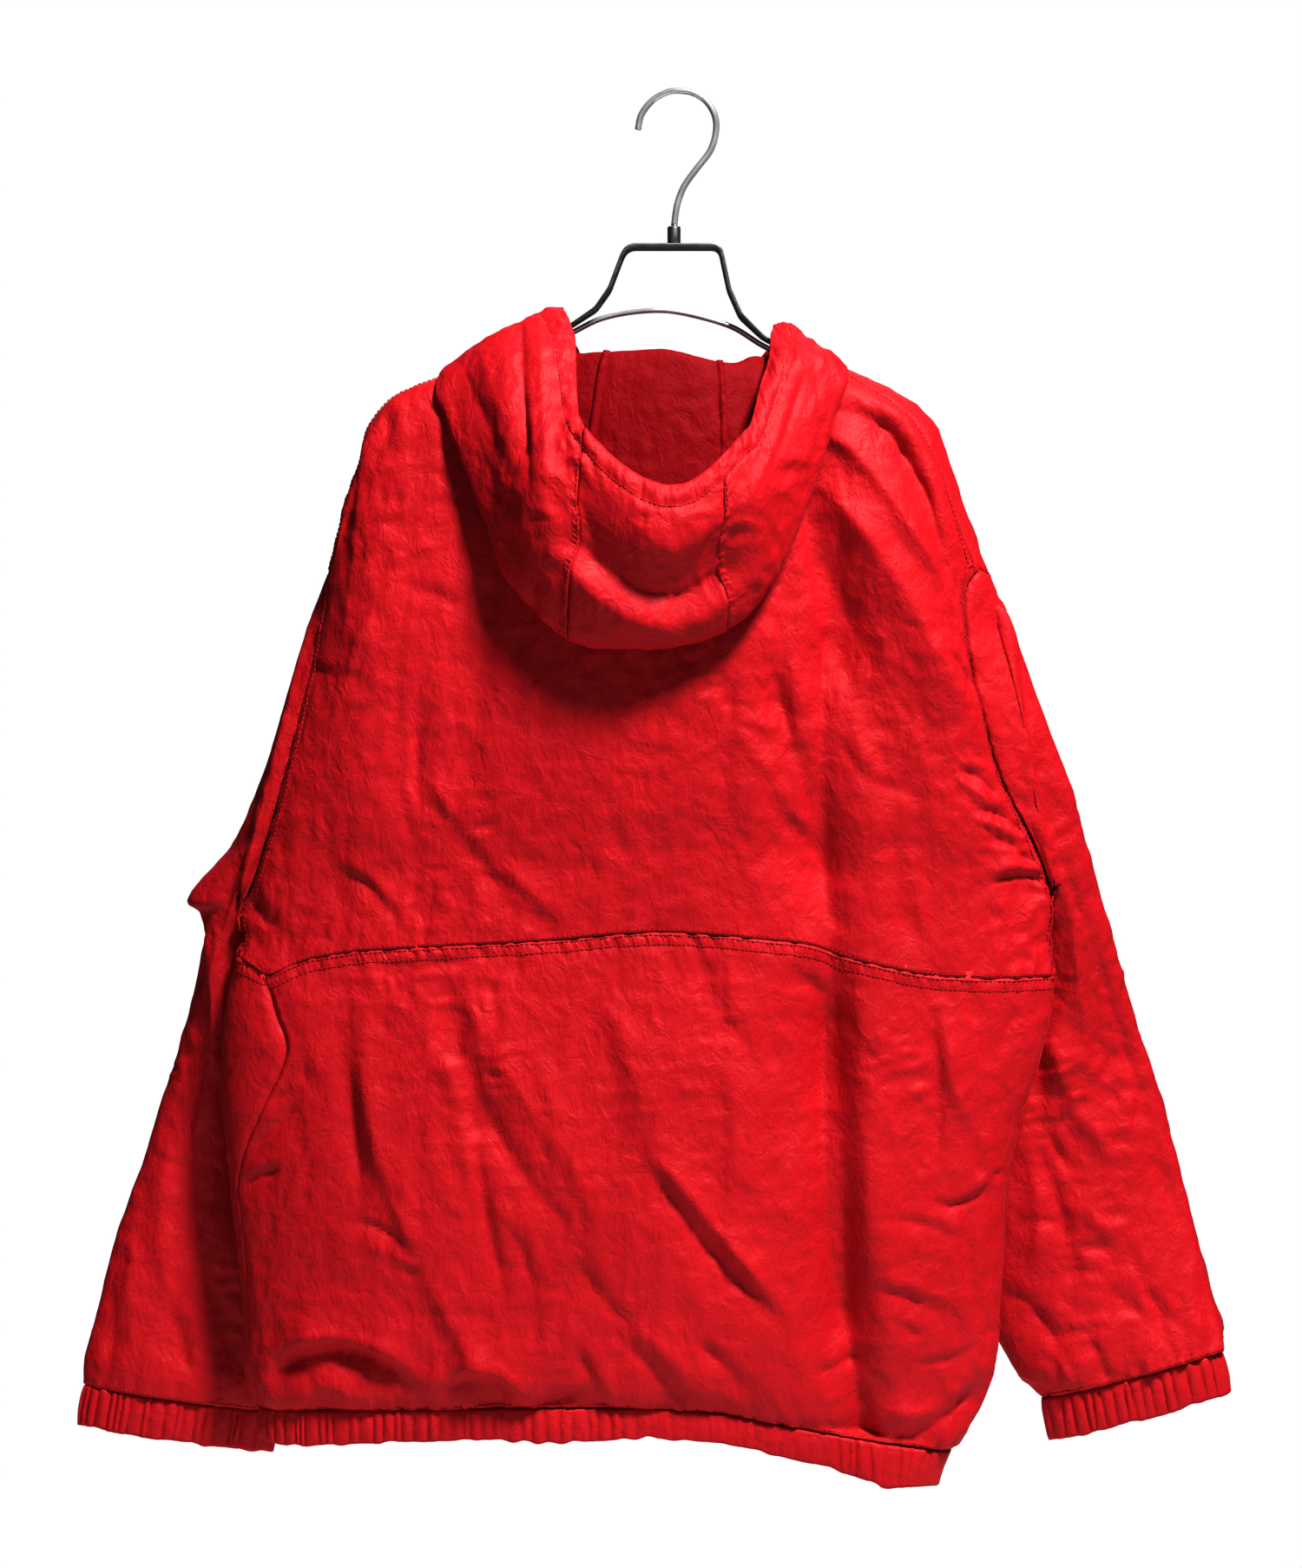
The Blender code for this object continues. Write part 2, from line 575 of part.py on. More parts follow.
def build_cuff(side, red):
    """A gathered cuff below the sleeve's last ring."""
    row = SLEEVE[side][-1]
    fold, inner = Vector(row[0:3]), Vector(row[3:6])
    low_fold, low_inner = (Vector(p) for p in CUFF[side])
    drop = ((low_fold + low_inner) - (fold + inner)) / 2
    rows = [[], [], []]
    for k in range(CUFF_PLEATS):
        for part, push in ((0.0, -1.0), (0.36, 0.8), (0.68, 0.6)):
            turn = (k + part + 0.14 * math.sin(k * 2.1)) / CUFF_PLEATS * 2
            share, sign = (turn, 1) if turn <= 1 else (2 - turn, -1)
            high = 1.6 * (0.7 + 0.4 * math.sin(k * 1.3 + 1))
            for n, (a, b, swell) in enumerate(((0.02, 1.0, -0.6), (0.5, 1.0, 1.4), (1.0, 0.92, 0.4))):
                up = fold + (low_fold - fold) * a, inner + (low_inner - inner) * a
                size = (row[6] + push * high + swell) * b
                ring = arm_ring(up[0] + (up[0] - up[1]).normalized() * (push * high * 0.5),
                                up[1] - (up[0] - up[1]).normalized() * (push * high * 0.5),
                                size, [(share, sign)])
                rows[n].append(ring[0])
    start = drop.normalized() * (SEAM + 0.2)
    rows[0] = [p + start for p in rows[0]]
    cloth("cuff_" + side, rows, red, ring=True)


# ---------------------------------------------------------------- hood
# Each station runs from the neck seam up to the fold at the neck, down the layer that lies on the
# body, round the bottom fold of the pouch and up the outer layer to the edge of the face opening.
HOOD = (              # place, neck fold xyz, under layer xyz, pouch fold xyz, outer layer xyz, edge xyz
    (-1.00, (-87.5, -2, -147.5), (-91, -3, -147), (-91, -4, -145), (-87, -5, -142.5), (-77, -6, -141)),
    (-0.90, (-88, -11, -153), (-119, -14, -169), (-155, -17, -186), (-115, -23, -159), (-72, -20, -151)),
    (-0.80, (-84, -18, -160), (-117, -27, -181), (-152, -33, -212), (-110, -44, -178), (-68, -32, -164)),
    (-0.62, (-75, -25, -170), (-104, -40, -207), (-139, -46, -248), (-103, -66, -216), (-67, -50, -187)),
    (-0.48, (-66, -30, -174), (-90, -46, -230), (-125, -53, -286), (-95, -80, -242), (-66, -64, -205)),
    (-0.36, (-57, -34, -174), (-78, -50, -255), (-107, -59, -328), (-86, -91, -268), (-65, -74, -215)),
    (-0.26, (-46, -37, -174), (-60, -53, -270), (-72, -63, -361), (-68, -98, -290), (-61, -82, -226)),
    (-0.14, (-30, -38, -173), (-36, -55, -273), (-46, -65, -366), (-44, -104, -308), (-40, -92, -248)),
    (0.00, (-11, -38, -172.5), (-14, -56, -272), (-20, -66, -366), (-19, -107, -316), (-17, -97, -262)),
    (0.14, (8, -38, -176), (8, -55, -270), (6, -65, -363), (6, -104, -310), (5, -95, -262)),
    (0.26, (24, -36, -180), (27, -53, -268), (30, -63, -354), (29, -98, -296), (26, -88, -245)),
    (0.36, (36, -33, -181), (42, -50, -250), (51, -59, -336), (46, -91, -276), (39, -80, -230)),
    (0.48, (47, -28, -176), (57, -45, -226), (69, -53, -304), (58, -80, -252), (45, -70, -222)),
    (0.62, (56, -22, -175), (71, -38, -208), (86, -46, -262), (70, -64, -222), (51, -56, -198)),
    (0.80, (68, -16, -167), (83, -27, -185), (101, -33, -214), (80, -44, -181), (58, -37, -175)),
    (0.90, (73, -9, -163), (87, -11, -175), (108, -17, -184), (85, -26, -166), (59, -22, -162)),
    (1.00, (73.8, -2, -158.3), (77, -3, -157.5), (76.5, -4, -155.5), (72, -5, -154), (62, -6, -153)),
)
HOOD_SEAMS = (-0.26, 0.26)
HOOD_STEPS = (0, 0.5, 1, 1.4, 1.8, 2.3, 2.75, 3, 3.25, 3.7, 4.1, 4.5, 5)    # columns of the table, 0 is the seam
STAND = (             # place, height and outward lean of the hood where it only stands round the throat
    (1.0, 14, 3), (1.25, 13, 1), (1.45, 17, 3), (1.7, 30, 7), (2.0, 31, 8))
STAND_SHAPE = ((0.2, 0.25), (0.4, 0.6), (0.6, 0.85), (0.8, 0.9), (1.0, 0.6))     # share of height, of lean


def neck_seam(place, edges):
    """The hood's lower edge, just above the body's neckline, and the way it stands up from there.

    Places 1 and -1 are at the shoulders, 2 and -2 at the middle of the throat.
    """
    half = edges["back" if abs(place) <= 1 else "front"]
    shift = place if abs(place) <= 1 else math.copysign(2 - abs(place), place)
    p = half(0.5 + shift / 2)
    along = (half(0.52 + shift / 2) - half(0.48 + shift / 2)).normalized()
    into = Vector((-7 - p.x, 3 - p.y, 0)).normalized() * 0.7 + Vector((0, 0, 1))
    square = (into - along * into.dot(along)).normalized()
    lean = smooth_step(1.05, 1.15, abs(place)) - smooth_step(1.3, 1.8, abs(place))
    return p + square * 1.4, Vector((0, 0, 1)).lerp(square, lean)


def neck_edge(half, row):
    """The part of a panel's top row that lies along the neck, as a line."""
    corner = (NECK_BACK[0][0] + 0.6, NECK_BACK[-1][0] - 0.6)
    return Line([p for p in row if corner[0] - 1.2 < p.x < corner[1] + 1.2], smooth=False)


HOOD_ROOM = (3.6, 3.6, 5.0, 8.0, 7.0)     # least way off the body of each column of the table


def hood_point(place, step, body, edges):
    """A point of the hood: place across it, step of the way from the neck seam to its edge."""
    seam, rise = neck_seam(place, edges)
    if abs(place) > 1.5:      # the two sides meet at the middle of the throat
        seam.x += math.copysign(0.3, place) * (abs(place) - 1.5) * 2
    drape = min(max(place, -1.0), 1.0)
    k = 0
    while k < len(HOOD) - 2 and HOOD[k + 1][0] < drape:
        k += 1
    low, high = HOOD[k], HOOD[k + 1]
    span = high[0] - low[0]
    t = (drape - low[0]) / span
    before, after = HOOD[max(k - 1, 0)], HOOD[min(k + 2, len(HOOD) - 1)]
    height, lean = read(STAND, abs(place))
    outward = Vector(((seam.x + 7) / 79 ** 2, seam.y / 33 ** 2, 0)).normalized()
    stand = smooth_step(1.0, 1.045, abs(place))
    tracks = [seam]
    for part in range(1, 6):
        a, b = Vector(low[part]), Vector(high[part])
        slope_a = (b - Vector(before[part])) / (high[0] - before[0]) * span
        slope_b = (Vector(after[part]) - a) / (after[0] - low[0]) * span
        p = (a * (2 * t ** 3 - 3 * t ** 2 + 1) + slope_a * (t ** 3 - 2 * t ** 2 + t)
             + b * (3 * t ** 2 - 2 * t ** 3) + slope_b * (t ** 3 - t ** 2))
        up, out = STAND_SHAPE[part - 1]
        p = p.lerp(seam + rise * (height * up) + outward * (lean * out), stand)
        under = 25.0 if 1 < part < 5 and stand < 0.1 else 0.0
        tracks.append(keep_off(p, body, HOOD_ROOM[part - 1] * (1 - stand) + 2.6 * stand, under))
    p = Line(tracks).at(step)
    return keep_off(p, body, 2.4, 25.0 if 1.5 < step < 4.5 and stand < 0.1 else 0.0) if step > 0 else p


SIDE_PLACES = (2.0, 1.77, 1.52, 1.4, 1.29, 1.19, 1.09, 1.045, 1.0, 0.975, 0.95, 0.925, 0.9, 0.85, 0.8, 0.73, 0.66, 0.59,
               0.52, 0.45, 0.38, 0.32, 0.2616)


def build_hood(body, edges, red):
    centre = [HOOD_SEAMS[0] + 0.0016 + (0.52 - 0.0032) * k / 8 for k in range(9)]
    for name, places in (("hood_side_left", [-p for p in SIDE_PLACES]), ("hood_centre", centre),
                         ("hood_side_right", SIDE_PLACES[::-1])):
        cloth(name, [[hood_point(place, step, body, edges) for place in places] for step in HOOD_STEPS], red)


def clear_scene():
    for thing in list(bpy.data.objects):
        bpy.data.objects.remove(thing, do_unlink=True)


clear_scene()
cloth_red = colour("red cloth", RED, False)
build_hanger(colour("dark metal", STEEL, True), colour("bright wire", WIRE, True))
body_panels, body_surface, neck_edges = build_body(cloth_red)
for arm in ("left", "right"):
    build_sleeve(arm, body_surface, body_panels, cloth_red)
build_hood(body_surface, neck_edges, cloth_red)
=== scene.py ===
"""The red anorak on its metal hanger: cloth, stitching, metal and a plain studio.

Tables are in millimetres, as the solids' are: x to the right, y from the garment's back to its
front, z up, with the inner top of the hanger's hook at the origin.
"""
import math
import random

import bmesh
import bpy
import numpy as np
from mathutils import Matrix, Vector
from mathutils.bvhtree import BVHTree
from mathutils.kdtree import KDTree


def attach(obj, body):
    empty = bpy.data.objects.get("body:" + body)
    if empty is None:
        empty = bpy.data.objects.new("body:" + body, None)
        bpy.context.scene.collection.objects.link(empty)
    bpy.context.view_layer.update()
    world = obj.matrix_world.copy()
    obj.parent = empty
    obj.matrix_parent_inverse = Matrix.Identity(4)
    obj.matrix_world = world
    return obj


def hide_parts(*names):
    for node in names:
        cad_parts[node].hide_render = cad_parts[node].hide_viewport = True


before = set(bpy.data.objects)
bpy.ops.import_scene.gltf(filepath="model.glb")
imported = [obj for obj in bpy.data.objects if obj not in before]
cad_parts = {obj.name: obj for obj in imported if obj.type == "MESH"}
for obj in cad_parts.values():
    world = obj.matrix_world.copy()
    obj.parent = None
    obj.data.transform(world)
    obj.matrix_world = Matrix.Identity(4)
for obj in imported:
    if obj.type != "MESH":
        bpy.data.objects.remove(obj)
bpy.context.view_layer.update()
MM = 0.001
WALL = 1.6            # wall of the solids
SEAM = 0.3            # space between two sewn solids
WAIST_GAP = 0.9       # space between the panels along the waist seam
CLEAR = 3.4           # least way from a sleeve's wall to the body's
CLOTH = 0.7           # thickness of the cloth itself


# ---------------------------------------------------------------- lines and patches
def bend(a, b, slope_a, slope_b, t):
    """The smooth way from a to b, at a share t of it, that leaves and arrives with these slopes."""
    return (a * (2 * t ** 3 - 3 * t ** 2 + 1) + slope_a * (t ** 3 - 2 * t ** 2 + t)
            + b * (3 * t ** 2 - 2 * t ** 3) + slope_b * (t ** 3 - t ** 2))


class Line:
    """A smooth line through rows of numbers, read by its share of length from 0 to 1."""

    def __init__(self, rows, smooth=True):
        self.rows = [Vector(row) for row in rows]
        self.smooth = smooth
        self.reach = [0.0]
        for a, b in zip(self.rows, self.rows[1:]):
            self.reach.append(self.reach[-1] + max((b - a).length, 1e-6))

    def __call__(self, share):
        want = min(max(share, 0.0), 1.0) * self.reach[-1]
        k = 0
        while k < len(self.rows) - 2 and self.reach[k + 1] < want:
            k += 1
        span = self.reach[k + 1] - self.reach[k]
        t = (want - self.reach[k]) / span
        a, b = self.rows[k], self.rows[k + 1]
        if not self.smooth:
            return a.lerp(b, t)
        return bend(a, b, self.slope(k) * span, self.slope(k + 1) * span, t)

    def at(self, place):
        """The point at a row's number, also between rows."""
        k = min(int(place), len(self.rows) - 2)
        return self((self.reach[k] + (self.reach[k + 1] - self.reach[k]) * (place - k)) / self.reach[-1])

    def slope(self, k):
        low, high = max(k - 1, 0), min(k + 1, len(self.rows) - 1)
        return (self.rows[high] - self.rows[low]) / (self.reach[high] - self.reach[low])

    @property
    def length(self):
        return self.reach[-1]


class Chain:
    """Lines joined end to end, each with its own share of the way."""

    def __init__(self, *lines_and_ends):
        self.lines = lines_and_ends[0::2]
        self.ends = (0.0,) + lines_and_ends[1::2]

    def __call__(self, share):
        share = min(max(share, 0.0), 1.0)
        for line, low, high in zip(self.lines, self.ends, self.ends[1:]):
            if share <= high:
                return line((share - low) / (high - low))
        return self.lines[-1](1.0)


def read(table, key):
    """The values beside a key in a table of (key, value, ...), also at keys between its rows."""
    rising = table[-1][0] > table[0][0]
    for low, high in zip(table, table[1:]):
        if (key <= high[0]) if rising else (key >= high[0]):
            t = min(max((key - low[0]) / (high[0] - low[0]), 0.0), 1.0)
            return [a + (b - a) * t for a, b in zip(low[1:], high[1:])]
    return list(table[-1][1:])


def patch(top, bottom, left, right, u, v):
    """A point of the patch between four edge lines, which meet at its corners."""
    across = top(u) * (1 - v) + bottom(u) * v
    down = left(v) * (1 - u) + right(v) * u
    low = top(0).lerp(top(1), u)
    high = bottom(0).lerp(bottom(1), u)
    return across + down - low.lerp(high, v)


# ---------------------------------------------------------------- the solids' own forms
forms = {}            # name of a piece: its rows of points


def cloth(name, rows):
    forms[name] = np.array([[tuple(p) for p in row] for row in rows])


# ---------------------------------------------------------------- body: shared edge lines
ARMHOLE = {           # half of an armhole from its top to the armpit: x, y, z
    ("left", "back"): ((-230, -1, -313.5), (-233, -9, -337), (-240, -13, -377), (-248, -13, -410),
                       (-257, -12, -445), (-264, -10, -472), (-272, -7, -497), (-279, -4, -520),
                       (-288, 0, -540)),
    ("left", "front"): ((-230, -1, -313.5), (-228, 9, -340), (-227, 17, -385), (-230, 21, -425),
                        (-238, 21, -460), (-251, 17, -490), (-267, 11, -513), (-279, 5, -528),
                        (-288, 0, -540)),
    ("right", "back"): ((196, -9, -313.5), (187.5, -13, -324), (186.5, -15, -349), (191, -16, -384),
                        (199, -15, -415), (207, -13, -445), (222, -9, -475), (233, -6, -497),
                        (239, -3, -514), (243, 0, -528)),
    ("right", "front"): ((196, -9, -313.5), (204, 0, -318), (202, 10, -335), (198, 17, -367),
                         (197, 21, -405), (200, 22, -440), (208, 19, -468), (219, 13, -492),
                         (231, 6, -512), (243, 0, -528)),
}
SHOULDER_LEFT = ((-230, -1, -313.5), (-225, -1, -293.5), (-217, -1, -263), (-210, -1, -243),
                 (-205, -1, -222), (-198, -1, -208), (-182, -1, -197), (-156, -1, -187.5),
                 (-116, -1, -167.5), (-86, -1, -152.5))
SHOULDER_RIGHT = ((72, -1, -163), (93, -5, -175), (113, -9, -187), (133, -11, -200), (159, -12.5, -222),
                  (171.6, -12.5, -254), (183, -12, -287), (196, -9, -313.5))
NECK_BACK = ((-86, -1, -152.5), (-85, -10, -156), (-76, -17, -172), (-60, -22, -187), (-36, -26, -197),
             (-10, -27, -201), (18, -25, -198), (42, -20, -190), (60, -15, -178), (70, -11.5, -167),
             (72, -1, -163))
NECK_FRONT = ((-86, -1, -152.5), (-85, 11.5, -156.4), (-80.5, 17, -174), (-72, 21.5, -193), (-57, 26, -213),
              (-36, 31, -230), (-7, 33, -240), (22, 31, -233), (45, 25.5, -214), (58, 21, -196),
              (66.5, 17, -180), (70.5, 11.5, -167.4), (72, -1, -163))
UNDERARM = {          # from the armpit to the ends of the seam across the body: x, y, z
    "left": ((-288, 0, -540), (-285.5, 0, -548), (-286, 0, -557), (-290, 0, -567)),
    "right": ((243, 0, -528), (240.5, 0, -537), (241.5, 0, -550), (245, 0, -579)),
}
WAIST_BACK = (        # seam across the back: x, z
    (-290, -566), (-268, -579), (-245, -567.7), (-212, -562), (-178, -560), (-82, -554.6), (-36, -550),
    (-2, -549), (33, -552), (84, -557.5), (124, -570.6), (164, -578), (205, -580.3), (245, -579))
HEM_TOP = (           # casing's stitch line round the body: x, z
    (-284, -861), (-200, -859.5), (-120, -857.5), (-22, -857), (30, -861.5), (80, -872), (130, -881),
    (182, -888), (198, -889))
HEM_BOTTOM = (        # casing's foot round the body: x, z
    (-284, -880), (-256, -885), (-192, -881), (-136, -878), (-79, -880.6), (-22, -876.7), (12.5, -879),
    (35, -882), (57, -887), (83, -893), (108, -900.6), (123, -906), (132, -911), (198, -912))
SIDES = (             # z, left outline, right outline, back depth, front depth of the body below the armpits
    (-540, -288, 254, 38, 27), (-567, -291, 247, 40, 28), (-604, -299, 243, 43, 29),
    (-640, -300, 234, 46, 29), (-677, -299, 222, 48, 29), (-714, -295, 215, 50, 29),
    (-748, -291, 213.5, 50, 29), (-793, -286.5, 210, 48, 29), (-825, -286, 208.5, 46, 29),
    (-845, -284, 205, 42, 28), (-857, -277, 201, 34, 25), (-889, -262, 196, 33, 24), (-912, -258, 178, 33, 24))
SEAM_LEFT = (         # share of the way down the lower body, degrees from the back to the left side seam
    (0.0, -66), (0.08, -61), (0.22, -56), (0.34, -66), (0.5, -77), (1.0, -80))
SIDE_LEFT, SIDE_RIGHT = -90, 90


def ring_point(degrees, z):
    """A point of the lower body: 0 degrees at the middle of the back, 90 at the right side."""
    left, right, back, front = read(SIDES, z)
    a = math.radians(degrees)
    depth = back if math.cos(a) > 0 else front
    square = math.copysign(abs(math.cos(a)) ** 0.8, math.cos(a))
    return Vector(((left + right) / 2 + (right - left) / 2 * math.sin(a), -depth * square, z))


def level(table, degrees):
    """The point of the lower body on a line that runs round it at the table's height for its x."""
    z = table[0][1]
    for _ in range(6):
        z = read(table, ring_point(degrees, z).x)[0]
    return ring_point(degrees, z)


def waist(degrees):
    on_back = SIDE_LEFT <= degrees <= SIDE_RIGHT or degrees >= SIDE_LEFT + 360
    table = WAIST_BACK if on_back else ((-290, -566), (-268, -577), (0, -583), (245, -579))
    return level(table, degrees)


UPPER_V = 0.86        # share of an upper panel's side that is armhole
ARM_STEPS = (0, 0.014, 0.037, 0.074, 0.13, 0.2, 0.28, 0.37, 0.46, 0.55, 0.64, 0.73, 0.81, 0.9, 1.0)


PART_WAY = {          # how far each upper panel's own edge keeps from the line it shares, x, y, z
    ("left", "back"): (0.25, -0.95, 0), ("left", "front"): (-0.25, 0.95, 0),
    ("right", "back"): (-0.25, -0.9, -0.15), ("right", "front"): (0.25, 0.9, 0.15),
}


def side_line(side, half):
    end = waist(SIDE_LEFT if side == "left" else SIDE_RIGHT)
    wide = Vector(PART_WAY[side, half])       # at the shoulder, where the walls stand steep
    near = Vector((wide.x, wide.y * 0.3, wide.z))
    armhole = [Vector(p) + wide.lerp(near, min(1.0, k / 2)) for k, p in enumerate(ARMHOLE[side, half])]
    under = Line([Vector(p) + near for p in UNDERARM[side][:-1]] + [end + near])
    return Chain(Line(armhole), UPPER_V, under, 1.0)


def spread(start, end, count):
    """Degrees round the body for a panel's columns, closer together at its sides."""
    shares = [0.55 * k / count + 0.45 * (0.5 - 0.5 * math.cos(math.pi * k / count)) for k in range(count + 1)]
    return [start + (end - start) * share for share in shares]


COLUMNS_BACK = [-90, -82, -74, -66] + spread(-66, 90, 27)[1:]
COLUMNS_FRONT = spread(90, 270, 26)
INSET = 0.2           # degrees from a side seam to a panel's edge


def inside(columns):
    """The columns with the first and last one moved in from the seams."""
    return [columns[0] + INSET] + columns[1:-1] + [columns[-1] - INSET]


def upper_rows():
    inset = WAIST_GAP / 2 / 400
    rows = [UPPER_V * s for s in ARM_STEPS] + [0.93, 1.0]
    return [min(v, 1 - inset) for v in rows]


SHOULDER_PUFF = (     # v; y and z on the back's shoulders, front's left shoulder, front's right shoulder
    (0.0, 0, 0, 0, 0, 0, 0),
    (0.0129, -6, 4.2, 6, 4.2, 6, 8),
    (0.0344, -11, 9, 11, 9, 14, 17),
    (0.0688, -14, 13, 15, 14, 21, 27),
    (0.12, -15, 10, 17, 12, 25, 27),
    (0.19, -15, 5, 17, 7, 26, 17),
    (0.27, -14, 0, 16, 2, 24, 8),
    (0.36, -13, 0, 14, 0, 20, 2),
    (0.55, -9, 0, 10, 0, 13, 0),
    (0.8, -4, 0, 4, 0, 5, 0),
    (1.0, 0, 0, 0, 0, 0, 0))
NECK_PUFF = (         # v; y of the back, y of the front below the neck
    (0.0, 0, 0), (0.2, -5, 6), (0.4, -7, 7), (0.7, -5, 4), (1.0, 0, 0))


def top_line(half):
    """Shoulder, neck and shoulder as one line, set off from the shoulder seams."""
    west, east = Vector(PART_WAY["left", half]), Vector(PART_WAY["right", half])
    neck = NECK_BACK if half == "back" else NECK_FRONT
    rows = [Vector(p) + west for p in SHOULDER_LEFT] + [Vector(p) for p in neck[1:-1]]
    return Line(rows + [Vector(p) + east for p in SHOULDER_RIGHT], smooth=False)


def smooth_step(low, high, t):
    t = min(max((t - low) / (high - low), 0.0), 1.0)
    return t * t * (3 - 2 * t)


def upper_puff(half, u, v, neck):
    """How far a point of an upper panel is pushed out, in y and z."""
    here = read(SHOULDER_PUFF, v)
    middle = read(NECK_PUFF, v)[0 if half == "back" else 1]
    if half == "back":
        left, right = here[0:2], here[0:2]
    else:
        left, right = here[2:4], here[4:6]
    start, end = neck
    west = 1 - 0.25 * smooth_step(start - 0.05, start, u) - 0.75 * smooth_step(start, start + 0.03, u)
    east = 0.75 * smooth_step(end - 0.03, end, u) + 0.25 * smooth_step(end, end + 0.05, u)
    high_west, high_east = 1 - smooth_step(start - 0.12, start, u), smooth_step(end, end + 0.12, u)
    slow = smooth_step(0, 0.22, u) * smooth_step(0, 0.22, 1 - u)
    quick = min(1.0, 16 * u, 16 * (1 - u))
    fade = quick + (slow - quick) * smooth_step(0.0, 0.15, v)
    y = left[0] * west + right[0] * east + middle * (1 - west - east)
    return Vector((0, y * fade, (left[1] * high_west + right[1] * high_east) * fade))


NECK_COLUMNS = {      # columns at the shoulders' ends and, between them, at the neckline's two turns
    "back": (10, 11, 20, 21), "front": (8, 9, 17, 18)}


def pins(shares, columns, wanted):
    """Moves these columns onto the wanted shares of a line and the others between them."""
    pairs = [(0.0, 0.0)] + [(shares[k], want) for k, want in zip(columns, wanted)] + [(1.0, 1.0)]
    return lambda u: read(pairs, u)[0]


def upper_panel(half):
    top = top_line(half)
    start, end = (-90, 90) if half == "back" else (270, 90)
    way = inside(COLUMNS_BACK if half == "back" else COLUMNS_FRONT)
    left, right = side_line("left", half), side_line("right", half)
    west = Line(SHOULDER_LEFT, smooth=False).length / top.length
    east = 1 - Line(SHOULDER_RIGHT, smooth=False).length / top.length

    def bottom(u):
        return waist(start + (end - start) * (math.acos(1 - 2 * u) / math.pi))

    way = way if half == "back" else way[::-1]
    shares = [0.5 - 0.5 * math.cos(math.pi * (degrees - start) / (end - start)) for degrees in way]
    corner = (10.5 if half == "back" else 16.0) / top.length        # the neckline turns down here
    pinned = pins(shares, NECK_COLUMNS[half], (west, west + corner, east - corner, east))

    def upper_edge(u):
        return top(pinned(u))

    rows = []
    for v in upper_rows():
        row = []
        for u in shares:
            p = patch(upper_edge, bottom, left, right, u, v) + upper_puff(half, pinned(u), v, (west, east))
            row.append(p)
        rows.append(row)
    return rows


def lower_panel(half):
    """Below the waist the left side seam wanders over the back, and the columns go with it."""
    inset_v = WAIST_GAP / 2 / 290
    top_seam = SEAM_LEFT[0][1]
    if half == "back":
        columns = [d for d in COLUMNS_BACK if d >= top_seam]
    else:
        columns = COLUMNS_FRONT + [d + 360 for d in COLUMNS_BACK if SIDE_LEFT < d <= top_seam]
    rows = []
    for k in range(11):
        v = inset_v + (1 - 2 * inset_v) * (k / 10)
        row = []
        shift = read(SEAM_LEFT, v)[0] - top_seam
        for degrees in inside(columns):
            degrees += shift * (1 - abs(degrees - (top_seam if half == "back" else top_seam + 360))
                                / (SIDE_RIGHT - top_seam if half == "back" else top_seam + 360 - SIDE_RIGHT))
            z = waist(degrees).z * (1 - v) + level(HEM_TOP, degrees).z * v
            row.append(ring_point(degrees, z))
        rows.append(row)
    return rows


def surface(panels):
    """The middles of all the panels' walls as one tree whose normals point out of the body."""
    points, faces = [], []
    for name, rows in panels.items():
        wide, start = len(rows[0]), len(points)
        points += [p for row in rows for p in row]
        own = [(start + i * wide + j, start + i * wide + j + 1, start + (i + 1) * wide + j + 1,
                start + (i + 1) * wide + j) for i in range(len(rows) - 1) for j in range(wide - 1)]
        a, b, c, _ = (points[k] for k in own[len(own) // 2 + wide // 2])
        if ((b - a).cross(c - a).y > 0) != name.startswith("front"):
            own = [face[::-1] for face in own]
        faces += own
    return BVHTree.FromPolygons(points, faces)


def keep_off(p, tree, room, under=0.0):
    """Moves a point out until it is this far from the surface, also from as far under it as is said."""
    near, normal, _, way = tree.find_nearest(p)
    above = (p - near).dot(normal)
    if above < -0.8 * way and way < under:
        return near + normal * room
    if way < room:
        out = (p - near) + normal * (1.5 * max(0.0, 1.0 - above))
        return near + out.normalized() * room
    return p


def build_body():
    """The four panels, with their surface and the two edges at the neck."""
    panels = {"back_upper": upper_panel("back"), "front_upper": upper_panel("front"),
              "back_lower": lower_panel("back"), "front_lower": lower_panel("front")}
    for name, rows in panels.items():
        cloth(name, rows)
    edges = {half: neck_edge(panels[half + "_upper"][0]) for half in ("back", "front")}
    return panels, surface(panels), edges


# ---------------------------------------------------------------- sleeves and cuffs
SLEEVE = {            # outer fold x, y, z, inner fold x, y, z, half depth of the flat sleeve
    "left": ((-243, 4, -345, -294, 4, -551, 17),
             (-272, 12, -440, -302.5, 14, -580.5, 18),
             (-292, 17, -487, -305, 19, -603.5, 18),
             (-317, 22, -529, -302, 24, -629, 18),
             (-316, 26, -552, -301, 30, -652, 18),
             (-321, 30, -585, -296, 35, -680, 18),
             (-331, 33, -624, -284, 41, -706, 19),
             (-343.7, 35, -662, -258, 48, -732, 20),
             (-357, 36, -705, -235, 54, -768, 21),
             (-374, 36, -752, -226, 56, -806, 22),
             (-389.5, 33, -815, -243, 54, -848, 21),
             (-394.5, 30, -851.5, -268, 50, -872, 19)),
    "right": ((214, -4, -338, 248, 4, -538, 17),
              (227, 1, -374, 252, 9, -552, 17),
              (244, 7, -420, 254.5, 14, -570, 17),
              (261, 13, -470, 255, 20, -592, 17),
              (278, 20, -526, 249, 28, -616, 17),
              (286.5, 24, -554, 241, 36, -638, 17),
              (294.7, 28, -581, 226, 43, -661, 18),
              (304.4, 32, -614, 195, 51, -686, 19),
              (315, 35, -645, 168, 56, -708, 20),
              (328, 37, -690, 172, 57, -743, 21),
              (344, 36, -752, 192, 54, -786, 22),
              (356.5, 31, -808, 217, 48, -831, 21),
              (359.5, 27, -829, 243, 44, -862, 19)),
}
